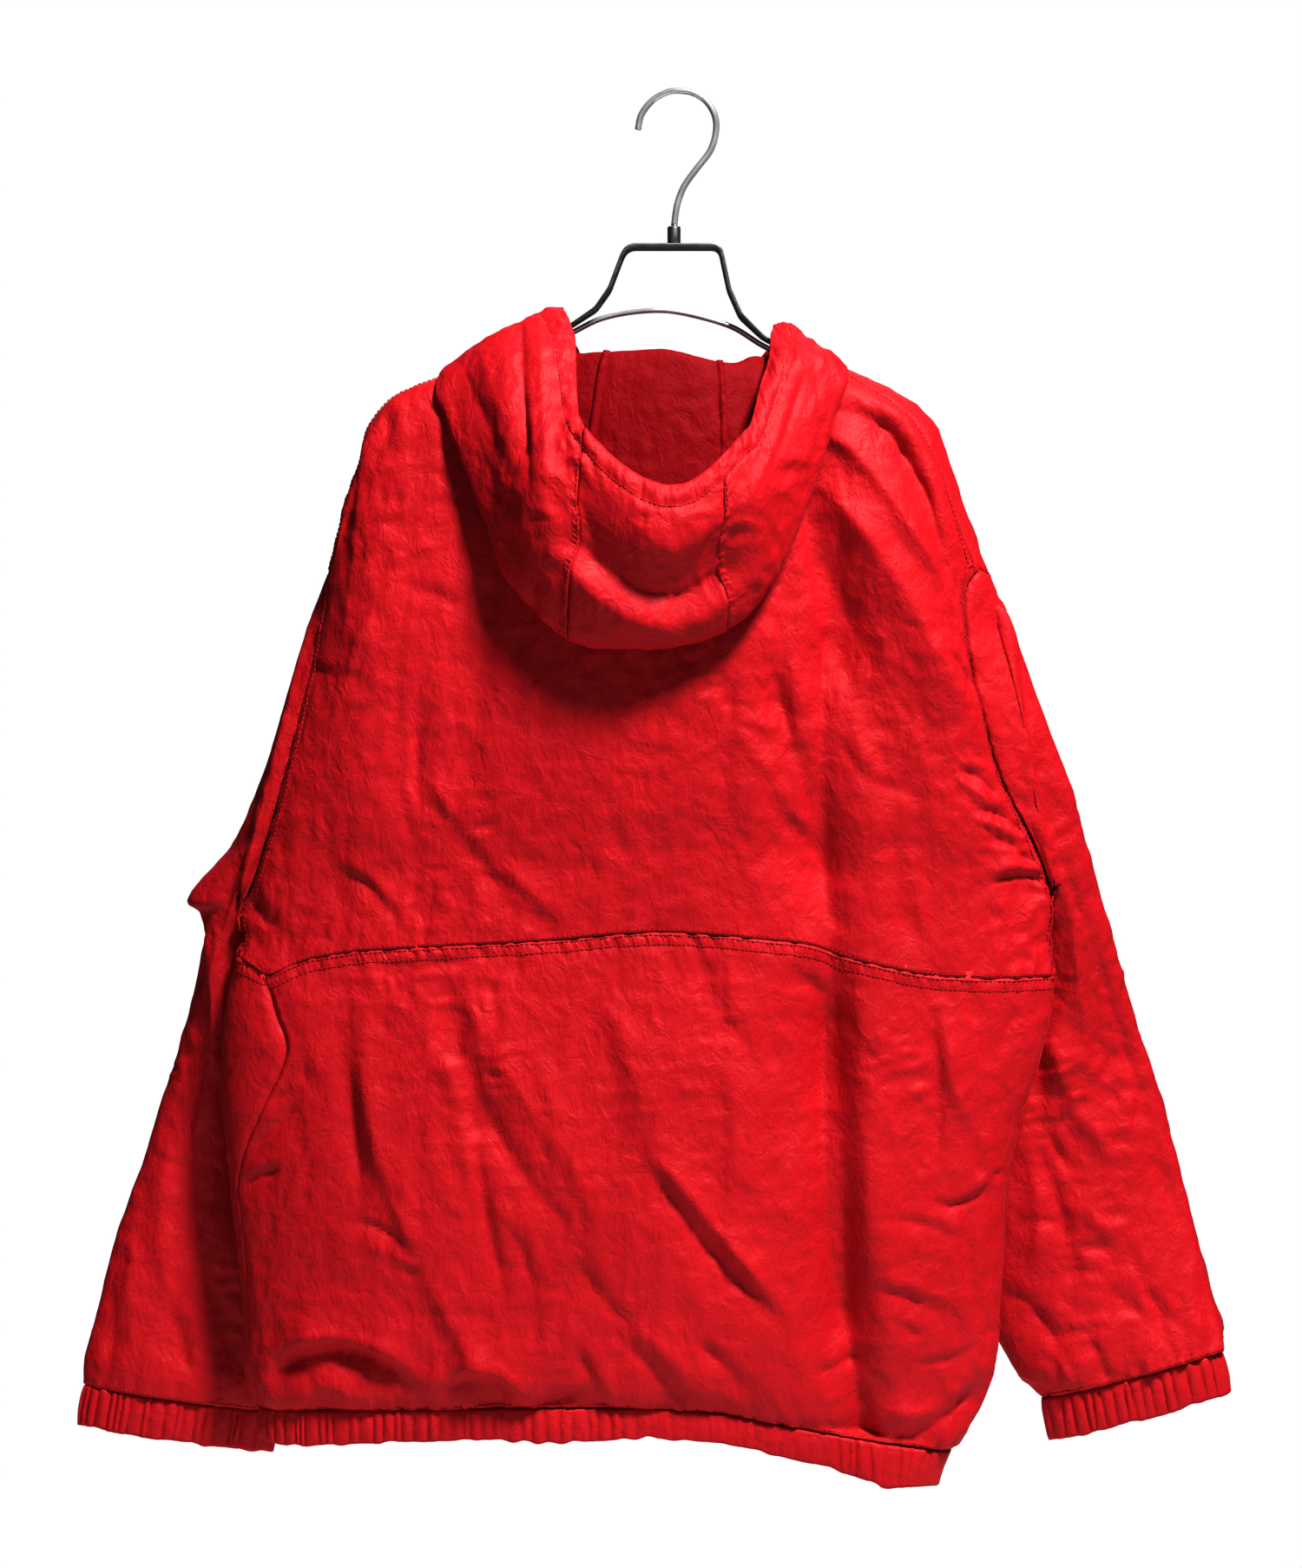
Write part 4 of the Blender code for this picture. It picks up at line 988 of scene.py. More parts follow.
class Finish:
    """A material in the making: one method adds any node."""

    def __init__(self, name, **constants):
        self.material = bpy.data.materials.new(name)
        self.material.use_nodes = True
        self.tree = self.material.node_tree
        self.shader = self.tree.nodes["Principled BSDF"]
        for key, value in constants.items():
            self.shader.inputs[key.replace("_", " ")].default_value = value

    def node(self, kind, out=0, settings=None, **sockets):
        node = self.tree.nodes.new("ShaderNode" + kind)
        for key, value in (settings or {}).items():
            setattr(node, key, value)
        for key, value in sockets.items():
            place = node.inputs[key.replace("_", " ")]
            if isinstance(value, Value):
                self.tree.links.new(value.socket, place)
            else:
                place.default_value = value
        return Value(self.tree, node.outputs[out])

    def into(self, key, value):
        self.tree.links.new(value.socket, self.shader.inputs[key])

    def parts(self, vector):
        node = self.tree.nodes.new("ShaderNodeSeparateXYZ")
        self.tree.links.new(vector.socket, node.inputs[0])
        return [Value(self.tree, output) for output in node.outputs]

    def ramp(self, value, stops):
        node = self.tree.nodes.new("ShaderNodeValToRGB")
        node.color_ramp.elements[0].position = stops[0][0]
        node.color_ramp.elements[0].color = stops[0][1]
        node.color_ramp.elements[-1].position = stops[-1][0]
        node.color_ramp.elements[-1].color = stops[-1][1]
        for place, rgba in stops[1:-1]:
            node.color_ramp.elements.new(place).color = rgba
        self.tree.links.new(value.socket, node.inputs["Fac"])
        return Value(self.tree, node.outputs["Color"])

    def bump(self, height, strength, distance, under=None):
        node = self.tree.nodes.new("ShaderNodeBump")
        node.inputs["Strength"].default_value = strength
        node.inputs["Distance"].default_value = distance
        self.tree.links.new(height.socket, node.inputs["Height"])
        if under is not None:
            self.tree.links.new(under.socket, node.inputs["Normal"])
        return Value(self.tree, node.outputs["Normal"])


def red_cloth_finish(name, painted_shade_factor=1.0):
    """Fine plain-woven red cloth, washed to a fine crinkle, with a slight sheen; painted_shade_factor below 1
    darkens its colour, sheen and specular as painted shade.
    """
    f = Finish(name, Sheen_Weight=0.06 * painted_shade_factor ** 3, Sheen_Roughness=0.4, Sheen_Tint=(1.0, 0.45, 0.45, 1),
               Specular_IOR_Level=0.28 * painted_shade_factor ** 2)
    here = f.node("TexCoord", out="Object")
    along = f.node("UVMap", settings={"uv_map": "cloth"})
    x, y, _ = f.parts(along)
    weave = (x * 7800.0).wave() * (y * 7800.0).wave()
    hanging = f.node("Mapping", Vector=here, Scale=(1.0, 1.0, 0.72))
    crinkle = f.node("TexNoise", Vector=hanging, Scale=85.0, Detail=5.0, Roughness=0.6, Distortion=0.5)
    broad = f.node("TexNoise", Vector=hanging, Scale=30.0, Detail=4.0, Roughness=0.55, Distortion=0.4)
    ridge = (crinkle - 0.5).size() * -1.5 + (broad - 0.5).size() * -2.4 + 1.0
    grain = f.node("TexNoise", Vector=here, Scale=520.0, Detail=3.0, Roughness=0.6)
    blotch = f.node("TexNoise", Vector=here, Scale=9.0, Detail=3.0, Roughness=0.5)
    lengthwise = f.node("Mapping", Vector=along, Scale=(60, 900, 1))
    slub = f.node("TexNoise", Vector=lengthwise, Scale=1.0, Detail=2.0)
    tone = (blotch - 0.5) * 0.5 + (grain - 0.5) * 0.35 + (slub - 0.5) * 0.2 + weave * 0.05 + 0.5
    colour = f.ramp(tone, ((0.2, (0.42 * painted_shade_factor, 0.006 * painted_shade_factor, 0.013 * painted_shade_factor, 1)),
                           (0.5, (0.54 * painted_shade_factor, 0.009 * painted_shade_factor, 0.020 * painted_shade_factor, 1)),
                           (0.85, (0.66 * painted_shade_factor, 0.018 * painted_shade_factor, 0.032 * painted_shade_factor, 1))))
    f.into("Base Color", colour)
    f.into("Roughness", (grain - 0.5) * 0.22 + ridge * 0.05 + 0.52)
    threads = f.bump(weave * 0.5 + grain * 0.5, 0.22, 0.00022)
    f.into("Normal", f.bump(ridge, 0.62, 0.0022, under=threads))
    return f.material


def thread_finish():
    """Twisted sewing thread, a touch darker and shinier than the cloth."""
    f = Finish("red thread twist", Specular_IOR_Level=0.45)
    here = f.node("TexCoord", out="Object")
    x, y, z = f.parts(here)
    twist = ((x + y * 0.6 + z * 1.4) * 9000.0).wave()
    fuzz = f.node("TexNoise", Vector=here, Scale=1800.0, Detail=2.0)
    f.into("Base Color", f.ramp(twist * 0.3 + fuzz * 0.5 + 0.25, ((0.1, (0.30, 0.003, 0.008, 1)),
                                                                   (0.9, (0.60, 0.012, 0.024, 1)))))
    f.into("Roughness", fuzz * 0.3 + 0.35)
    f.into("Normal", f.bump(twist, 0.4, 0.0002))
    return f.material


def wire_finish():
    """Bright plated wire with faint drawing lines and a few dull patches."""
    f = Finish("bright plated wire", Metallic=0.72)
    here = f.node("TexCoord", out="Object")
    fine = f.node("TexNoise", Vector=here, Scale=700.0, Detail=2.0)
    dull = f.node("TexNoise", Vector=here, Scale=60.0, Detail=3.0)
    f.into("Base Color", f.ramp(dull, ((0.3, (0.62, 0.62, 0.63, 1)), (0.7, (0.88, 0.88, 0.89, 1)))))
    f.into("Roughness", dull * 0.22 + fine * 0.08 + 0.10)
    f.into("Normal", f.bump(fine, 0.05, 0.0001))
    return f.material


def dark_metal_finish():
    """Dull dark metal sheet with a fine lengthwise grain, brighter where it is rubbed."""
    f = Finish("dull dark metal sheet", Metallic=1.0)
    here = f.node("TexCoord", out="Object")
    lengthwise = f.node("Mapping", Vector=here, Scale=(300, 1800, 300))
    grain = f.node("TexNoise", Vector=lengthwise, Scale=1.0, Detail=3.0)
    rub = f.node("TexNoise", Vector=here, Scale=45.0, Detail=4.0)
    f.into("Base Color", f.ramp(rub * 0.7 + grain * 0.3, ((0.3, (0.13, 0.13, 0.14, 1)),
                                                          (0.75, (0.30, 0.30, 0.32, 1)))))
    f.into("Roughness", grain * 0.25 + 0.30)
    f.into("Normal", f.bump(grain, 0.12, 0.0001))
    return f.material


red_cloth = red_cloth_finish("red cloth weave")
# A half-dark copy of the red cloth: painted shade for the faces inside the hood
red_cloth_painted_hood_shade = red_cloth_finish("red cloth wrong side", 0.5)
red_thread = thread_finish()
bright_wire = wire_finish()
dark_metal = dark_metal_finish()


# ---------------------------------------------------------------- the body's panels
BACK = (          # x, z at three points of a crease, half width, height: the back
    (-170, -390, -172, -469, -173, -548, 13, -5), (-215, -389, -230, -469, -218, -551, 24, -5),
    (-216, -509, -200, -520, -183, -541, 4, -3.5), (-219, -505, -202, -515, -185, -535, 5, 2.5),
    (-166, -445, -127, -494, -74, -544, 6, 3.5), (-158, -466, -121, -514, -104, -543, 5, -2.5),
    (-203, -286, -190, -283, -176, -287, 4, -2.2), (-188, -312, -173, -303, -160, -300, 5, 2.4),
    (-185, -321, -161, -329, -139, -339, 4, -2), (-190, -251, -173, -249, -157, -252, 3, -1.5),
    (-247, -374, -224, -382, -205, -383, 5, -2.5), (-183, -319, -204, -352, -215, -389, 9, 4),
    (-178, -435, -175, -463, -170, -487, 5, 2), (-285, -522, -275, -538, -263, -546, 9, -6),
    (-304, -517, -290, -526, -275, -520, 5, -3), (-295, -500, -287, -508, -270, -508, 5, -2.5),
    (-198, -214, -190, -223, -202, -246, 8, -4), (-127, -451, -104, -486, -82, -500, 10, 2),
    (-82, -469, -47, -503, -13, -511, 10, 1.6), (-47, -471, -36, -508, -40, -548, 9, -2),
    (57, -371, 77, -441, 97, -542, 12, -9), (102, -582, 107, -723, 117, -844, 13, -11),
    (84, -280, 109, -349, 159, -423, 25, -8), (92, -258, 146, -332, 203, -445, 15, 8),
    (92, -227, 129, -258, 181, -351, 9, 7), (102, -211, 146, -235, 171, -309, 10, -8.5),
    (124, -215, 141, -223, 155, -246, 7, -6), (101, -346, 92, -440, 102, -570, 19, -16),
    (81, -337, 75, -423, 87, -508, 9, 4), (35, -356, 31, -440, 40, -544, 13, -3.5),
    (50, -435, 62, -451, 70, -470, 6, 3), (70, -470, 81, -479, 94, -496, 6, 3.5),
    (67, -486, 55, -500, 48, -514, 4, -2), (181, -445, 195, -449, 207, -463, 5, -4.5),
    (181, -451, 192, -458, 202, -469, 4, 3), (196, -470, 209, -473, 223, -483, 5, -5),
    (192, -477, 206, -481, 219, -489, 4, 3), (198, -487, 215, -492, 235, -509, 6, -4),
    (196, -523, 226, -514, 260, -526, 6, -5), (201, -514, 226, -507, 252, -517, 5, 3.5),
    (142, -348, 158, -353, 175, -350, 4, -2.2), (172, -370, 182, -380, 189, -396, 4, -3.5),
    (109, -413, 115, -443, 146, -458, 7, -3.5), (146, -458, 144, -486, 152, -537, 9, 3),
    (137, -470, 146, -524, 157, -559, 7, -3), (235, -516, 240, -531, 243, -554, 5, 3),
    (44, -383, 67, -403, 78, -409, 4, -1.8), (38, -412, 55, -416, 70, -423, 3, 1.5),
    (-218, -583, -211, -651, -207, -734, 8, -6), (-217, -594, -196, -691, -161, -775, 8, 5),
    (-161, -775, -136, -822, -104, -860, 9, 5), (-149, -588, -127, -662, -73, -739, 12, -7),
    (-136, -594, -104, -651, -53, -725, 9, 3.5), (-161, -617, -144, -662, -136, -708, 9, 4),
    (-137, -645, -127, -719, -110, -800, 9, -5.5), (-114, -736, -97, -771, -93, -819, 7, -4),
    (-212, -736, -190, -742, -168, -758, 4, -3), (-201, -751, -184, -759, -167, -765, 5, 2),
    (-268, -570, -256, -611, -246, -652, 6, 4), (-261, -583, -250, -622, -234, -657, 9, -4),
    (-297, -629, -284, -620, -271, -622, 5, -4), (-294, -637, -281, -629, -267, -631, 5, 2.5),
    (-275, -661, -261, -656, -250, -654, 5, -3), (-296, -701, -267, -679, -247, -656, 7, -4.5),
    (-293, -717, -275, -709, -261, -705, 5, -3.5), (-291, -709, -275, -701, -258, -697, 5, 2.5),
    (-258, -816, -218, -812, -173, -829, 14, 8), (-265, -839, -218, -821, -166, -850, 8, -11),
    (-161, -850, -127, -838, -107, -866, 8, -9), (-150, -836, -121, -830, -93, -850, 11, 6),
    (-101, -866, -82, -850, -61, -848, 6, -6), (-253, -856, -230, -842, -207, -850, 6, 4),
    (-47, -594, -35, -628, -14, -698, 11, 4), (-19, -692, 18, -734, 62, -790, 7, 6),
    (-13, -705, 15, -748, 64, -798, 7, -5.5), (-68, -757, -53, -782, -30, -805, 9, -4.5),
    (-68, -817, -56, -839, -46, -860, 6, -4), (-36, -811, -19, -830, 8, -855, 8, -5),
    (-27, -805, -7, -822, 17, -845, 7, 3), (10, -813, 27, -828, 44, -848, 7, -4),
    (13, -562, 22, -594, 44, -625, 11, -4), (71, -572, 84, -580, 96, -594, 7, -3.5),
    (98, -555, 94, -674, 102, -790, 20, -20), (102, -770, 115, -850, 124, -907, 16, -15),
    (115, -571, 118, -679, 124, -782, 10, 5), (171, -591, 175, -645, 193, -679, 8, 5),
    (193, -679, 198, -699, 190, -723, 7, 4), (164, -606, 168, -662, 164, -723, 8, -5),
    (162, -724, 184, -726, 203, -712, 5, -5), (188, -724, 188, -771, 205, -812, 6, -4.5),
    (181, -731, 180, -776, 192, -816, 7, 3.5), (132, -735, 158, -738, 184, -750, 4, -2.5),
    (125, -781, 152, -788, 174, -802, 5, -4), (129, -773, 155, -779, 178, -792, 5, 2.6),
    (135, -801, 146, -805, 159, -816, 4, -3), (132, -871, 164, -873, 198, -844, 7, -6),
    (135, -859, 164, -859, 191, -833, 7, 4), (120, -847, 129, -876, 154, -895, 6, -6),
    (146, -828, 175, -828, 203, -811, 6, -3), (86, -835, 104, -832, 120, -823, 6, -4),
    (110, -601, 118, -622, 132, -636, 4, -2.5), (201, -709, 207, -707, 213, -709, 3, -2.5),
    (223, -602, 215, -611, 209, -628, 5, -3), (55, -611, 70, -657, 67, -702, 10, -3),
    (27, -640, 38, -679, 30, -725, 9, 2), (-93, -622, -76, -679, -47, -748, 12, 2.5),
    (152, -654, 159, -658, 166, -668, 4, 2))
FRONT = (         # the same on the front, finished plainly
    (-150, -330, -140, -450, -150, -560, 20, -6), (60, -300, 90, -430, 100, -560, 20, -7),
    (-60, -320, -40, -450, -70, -570, 16, 5), (20, -330, 10, -440, 30, -560, 14, -5),
    (-210, -400, -180, -420, -160, -470, 8, 5), (160, -380, 130, -430, 120, -500, 9, -6),
    (-120, -570, -130, -700, -110, -850, 15, -8), (-40, -560, -30, -680, -60, -800, 18, 5),
    (60, -560, 80, -690, 60, -860, 16, -9), (130, -600, 150, -700, 140, -820, 10, 6),
    (-200, -600, -180, -700, -200, -830, 12, 6), (-230, -700, -190, -740, -160, -790, 7, -5),
    (0, -700, 40, -750, 90, -780, 8, -5), (-90, -780, -60, -820, -30, -850, 7, 5),
    (170, -760, 150, -800, 110, -840, 7, -5), (-180, -270, -150, -300, -130, -350, 9, -5),
    (110, -260, 90, -300, 80, -350, 9, -5), (-30, -590, 0, -640, 50, -660, 7, 4))
SLEEVE_RIGHT = (  # the same on the back of the right sleeve
    (211, -322, 224, -394, 248, -484, 15, -13), (246, -480, 280, -583, 312, -679, 12, -7),
    (312, -679, 326, -725, 337, -748, 9, -5), (223, -332, 243, -406, 266, -503, 9, 4),
    (208, -337, 223, -346, 232, -343, 4, -2), (266, -543, 289, -622, 300, -697, 9, 3),
    (246, -611, 258, -657, 289, -702, 9, 5), (238, -631, 243, -679, 266, -719, 8, -5),
    (223, -674, 238, -725, 235, -776, 9, 4.5), (232, -685, 252, -736, 260, -793, 9, -5),
    (266, -736, 295, -765, 312, -811, 9, 4), (218, -793, 238, -805, 260, -839, 7, -4.5),
    (295, -759, 312, -793, 335, -819, 7, -4), (343, -765, 337, -793, 346, -822, 6, 3),
    (269, -816, 280, -836, 283, -856, 6, -4), (246, -828, 258, -845, 263, -862, 5, 3.5),
    (317, -799, 320, -816, 329, -836, 5, -3), (289, -651, 303, -657, 317, -651, 5, -2),
    (226, -748, 243, -743, 260, -751, 5, -2.5))
SLEEVE_LEFT = (   # the same on the back of the left sleeve
    (-297, -577, -310, -640, -324, -702, 10, 5), (-284, -594, -297, -674, -294, -754, 10, -7),
    (-318, -645, -324, -714, -312, -782, 9, -5), (-332, -674, -344, -736, -338, -793, 9, 3.5),
    (-312, -782, -301, -811, -297, -845, 7, -4.5), (-338, -793, -329, -822, -324, -850, 6, -4),
    (-361, -748, -364, -793, -358, -839, 8, 3), (-378, -782, -375, -816, -379, -850, 5, -3),
    (-297, -759, -290, -793, -287, -828, 8, 4), (-312, -565, -318, -583, -329, -600, 5, -2.5),
    (-349, -697, -332, -705, -318, -699, 5, -2), (-372, -765, -355, -772, -338, -768, 5, -2))
SLEEVE_FRONT = (  # the same on the fronts of the sleeves
    (-280, -480, -300, -560, -310, -650, 11, -6), (-330, -640, -300, -720, -320, -800, 12, 6),
    (-300, -700, -270, -760, -260, -830, 9, -6), (-360, -720, -350, -780, -370, -840, 8, 4),
    (-310, -790, -330, -820, -350, -860, 7, -5), (-270, -600, -290, -640, -330, -660, 7, -4),
    (-250, -780, -280, -800, -300, -790, 6, 4), (-250, -400, -265, -440, -270, -500, 9, 4))
HOOD_FOLDS = (        # the same on the hood's outer layer
    (-91, -152, -88, -206, -84, -261, 10, 5), (-103, -150, -100, -206, -95, -262, 3.5, -5.5),
    (-141, -182, -129, -212, -109, -258, 9, -3.5), (-127, -235, -116, -275, -92, -325, 8, -2.5),
    (-132, -169, -113, -223, -94, -303, 10, 2.5), (-79, -275, -73, -303, -77, -337, 5, -2),
    (-39, -335, -7, -341, 18, -334, 5, -2.5), (-30, -288, -14, -300, 8, -318, 6, 2),
    (95, -184, 87, -223, 70, -263, 10, 3), (81, -184, 70, -223, 55, -258, 7, -4),
    (48, -235, 61, -249, 81, -251, 5, -2.5), (74, -280, 58, -309, 38, -332, 9, 2.5),
    (63, -166, 61, -195, 48, -229, 8, 3.5))


PANEL_CREASES, SLEEVE_CREASES, HOOD_CREASES = 0.72, 0.75, 0.62      # share of the heights in the tables


def panel(name, rows, columns, out, table, edges, seed, puckered, shape):
    """A panel of the body: fine points, creases from its table and ripples at its seams."""
    points, _ = resample(forms[name], rows, 0)
    points, _ = resample(points, columns, 1)
    normals = facing(points, out=out)
    high = (PANEL_CREASES * creases(points, table) + crumple(points, seed)) * fade(points, edges)
    for edge, strength in puckered.items():
        high += pucker(points, edge, seed + len(edge), high=strength)
    if shape:
        points, high = shape(points, high)
    points = points + normals * high[..., None]
    return points, facing(points, out=out)


CORNER_IN = 27.0
BAG = 3.6             # how far the cloth above the casing bags out
DROP = 3.0            # and how far it hangs down


def rounded_corner(points):
    """The hem's right corner curves in towards its foot."""
    moved = np.array(points)
    low = soft(-838, -912, moved[..., 2])
    moved[..., 0] -= CORNER_IN * low ** 1.6 * soft(120, 205, moved[..., 0])
    return moved


def billow(points, high):
    """The cloth above the casing bags out and hangs a little over it, more at the left."""
    points = rounded_corner(points)
    away = reach_from(points, "bottom")
    more = 0.55 + 0.45 * soft(0, 150, -points[..., 0]) + 0.35 * noise(points, (38, 900, 900), 61)
    bag = hump(away, 15, 13) * more
    drop = hump(away, 7, 9) * soft(0, 2.5, away) * more
    points = points + np.stack([0 * bag, 0 * bag, -DROP * drop], axis=-1)
    sides = soft(0, 12, reach_from(points, "left")) * soft(0, 12, reach_from(points, "right"))
    return points, high + BAG * bag * sides


for name, rows, columns, out, table, edges, seed, puckered, tucked, shape in (
        ("back_upper", 146, 208, (0, -1, 0), BACK, {"left": 12, "right": 12, "top": 10},
         11, {"left": 0.9, "right": 0.9, "bottom": 0.9}, (), None),
        ("back_lower", 132, 198, (0, -1, 0), BACK, {"left": 10, "right": 10, "bottom": 5},
         11, {"top": 0.9, "bottom": 1.5, "left": 0.5, "right": 0.5}, ("top",), billow),
        ("front_upper", 86, 108, (0, 1, 0), FRONT, {"left": 12, "right": 12, "top": 10},
         23, {"left": 0.9, "right": 0.9, "top": 0.5, "bottom": 0.6}, ("left", "right", "top"), None),
        ("front_lower", 80, 108, (0, 1, 0), FRONT, {"left": 10, "right": 10, "bottom": 5},
         23, {"top": 0.6, "bottom": 1.4}, ("top", "left", "right"), billow)):
    sewn(name, *panel(name, rows, columns, out, table, edges, seed, puckered, shape), tucked)


# ---------------------------------------------------------------- hem casing
GATHER = 7.0          # mean width of a gather
CASING_SWELL = 0.9    # how far a casing is rounder than flat


def gather_ends(length, seed):
    """Where each of a casing's uneven gathers ends."""
    random.seed(seed)
    ends = [0.0]
    for _ in range(round(length / GATHER)):
        ends.append(ends[-1] + random.uniform(0.45, 1.7))
    return np.array(ends) / ends[-1] * length


def gathers(reach, ends, seed):
    """A round gather with narrow grooves beside it, each with a height of its own."""
    k = np.clip(np.searchsorted(ends, reach, side="right") - 1, 0, len(ends) - 2)
    share = (reach - ends[k]) / (ends[k + 1] - ends[k])
    own = 0.6 + 0.8 * np.abs(np.sin(k * 12.9898 + seed) * 43758.5 % 1.0)
    return (np.sin(math.pi * share) ** 0.55 - 0.62) * own


def casing(points, high, seed):
    """A gathered casing: grooves run up and down it, deepest at its stitch line, uneven all along."""
    normals = facing(points, ring=True)
    along = reach_from(points, "left").mean(axis=0)
    ends = gather_ends(along[-1], seed)
    down = np.linspace(0, 1, len(points))[:, None]
    slant = 3.0 * np.interp(along, ends, np.sin(np.arange(len(ends)) * 2.3))
    upright = (1 - np.cos(2 * math.pi * along / along[-1])) * 0.5       # 0 where the ring closes
    reach = np.clip(along + slant * (down - 0.2) * upright, 0, along[-1])
    run = np.stack([along, 0 * along, 0 * along], axis=-1)
    slow = noise(run, (34, 9, 9), seed + 9)
    strength = (0.75 + 0.5 * np.sin(math.pi * down ** 0.8)) * (0.45 + 0.85 * soft(-0.5, 0.5, slow))
    crown = CASING_SWELL * np.sin(math.pi * down) ** 0.7
    lift = gathers(reach, ends, seed) * high * strength + crown + 0.25 * noise(points, (3.2, 5, 6.0), seed)
    moved = points + normals * lift[..., None]
    moved[..., 2] += 1.1 * noise(run, (8, 9, 9), seed + 11) * down ** 2
    moved[:, -1] = moved[:, 0]
    return moved, facing(moved, ring=True)


def hem_points(rows=13, columns=1060):
    """The casing's plain ring between its stitch line and its foot."""
    grid = []
    for degrees in np.linspace(SIDE_LEFT, SIDE_LEFT + 360, columns):
        top = level(HEM_TOP, degrees)
        low = Vector((top.x, top.y, read(HEM_BOTTOM, top.x)[0]))
        grid.append([tuple(top.lerp(low, share)) for share in np.linspace(0.06, 1.0, rows)])
    return np.array(grid).swapaxes(0, 1)


sewn("hem_band", *casing(rounded_corner(hem_points()), 1.35, 3), ("top",), 1.2, 4.0, ring=True)


# ---------------------------------------------------------------- sleeves and cuffs
SLEEVE_ROWS, SLEEVE_COLUMNS = 176, 121
BEHIND_BODY = {       # depth below the hook, and how far the sleeve's inner fold goes in there
    "left": ((528, 0), (545, 20), (558, 26), (585, 28), (622, 23), (735, 23)),
    "right": ((520, 0), (536, 18), (548, 23), (735, 23))}
TO_FRONT = (          # the same for how far it goes to the front
    (522, 0), (548, 17), (592, 17), (640, 5), (735, 5))


def at_depth(table, z):
    """What a table of depth and way says at these heights."""
    return np.interp(-z, *np.array(table, float).T)


def elbow_tip(points, share):
    """The left sleeve's outer fold runs out to a corner beside the armpit, and turns in under it."""
    z = points[..., 2]
    tip = np.where(z > -527, soft(-488, -527, z) ** 1.3, soft(-538, -527, z))
    notch = hump(z, -550, 11)
    outer = soft(0.15, 0.9, share)
    return outer[..., None] * np.stack([-9.0 * tip + 3.0 * notch, -3.0 * tip, -3.0 * tip], axis=-1)


def turned_in(points, side):
    """The sleeve with its inner fold moved in behind the body's side, which it still keeps off."""
    turn = 2 * math.pi * np.arange(SLEEVE_COLUMNS) / (SLEEVE_COLUMNS - 1)
    inner = -np.cos(turn)[None, :]      # 1 at the inner fold, -1 at the outer
    z = points[..., 2]
    near = soft(0.0, 0.85, inner) * soft(-735, -690, z) * soft(2, 20, reach_from(points, "top"))
    inward = at_depth(BEHIND_BODY[side], z) * (1 if side == "left" else -1)
    points = points + near[..., None] * np.stack([inward, at_depth(TO_FRONT, z), 0 * z], axis=-1)
    if side == "left":
        points = points + elbow_tip(points, -inner)
    for i, j in zip(*np.nonzero(near * soft(-515, -530, z) > 0.02)):
        points[i, j] = keep_off(Vector(points[i, j]), body_surface, 2.6, 5.0)
    return points


def cuff_points(side, rows=14, columns=440):
    """The cuff's plain ring, from the sleeve's last ring down to the wrist."""
    row = SLEEVE[side][-1]
    fold, inner = Vector(row[0:3]), Vector(row[3:6])
    low_fold, low_inner = (Vector(p) for p in CUFF[side])
    turns = [(t, 1) if t <= 1 else (2 - t, -1) for t in np.linspace(0, 2, columns)]
    rings = []
    for share in np.linspace(0.03, 1.0, rows):
        half_depth = (row[6] - 2) * (1 - 0.08 * share)
        ring = arm_ring(fold.lerp(low_fold, share), inner.lerp(low_inner, share), half_depth, turns)
        rings.append([tuple(p) for p in ring])
    return np.array(rings)


def sleeve(side, table, front_table, seed):
    """A sleeve with its creases, which bags a little over its gathered cuff."""
    points, _ = resample(forms["sleeve_" + side], SLEEVE_ROWS, 0)
    points, _ = resample(points, SLEEVE_COLUMNS, 1, ring=True)
    points = turned_in(points, side)
    normals = facing(points, ring=True)
    behind = soft(0.15, -0.15, normals[..., 1])
    folds = creases(points, table) * behind + creases(points, front_table) * (1 - behind)
    flat = soft(0.0, 0.45, np.abs(normals[..., 1]))     # 0 along the two folds
    high = (SLEEVE_CREASES * folds + crumple(points, seed, 0.75)) * (0.3 + 0.7 * flat)
    high *= fade(points, {"top": 16, "bottom": 6})
    high += pucker(points, "top", seed + 3, high=1.0)
    high += pucker(points, "bottom", seed + 4, pitch=11, reach=22, high=2.6)
    high += 2.2 * hump(reach_from(points, "bottom"), 18, 14)
    points = points + normals * high[..., None]
    points[:, -1] = points[:, 0]
    sewn("sleeve_" + side, points, facing(points, ring=True), ("top",), 1.8, 5.0, ring=True)
    sewn("cuff_" + side, *casing(cuff_points(side), 1.6, seed), ("top",), 1.5, 4.0, ring=True)


sleeve("left", SLEEVE_LEFT, SLEEVE_FRONT, 31)
sleeve("right", SLEEVE_RIGHT, [(-a, b, -c, d, -e, f, g, h) for a, b, c, d, e, f, g, h in SLEEVE_FRONT], 37)


# ---------------------------------------------------------------- hood
HOOD_ROWS = 150
KNOT = (-63, -241, 12)      # x, z and size of the knot of gathers at the left seam
VALLEY = 15.0               # depth of the hollow between the hood's two sides
HOOD_MIDDLE = -18
EDGE_CASING = 15.0          # width of the casing round the face opening
INNER_LAYER = 2.6           # columns of HOOD before this one lie inside


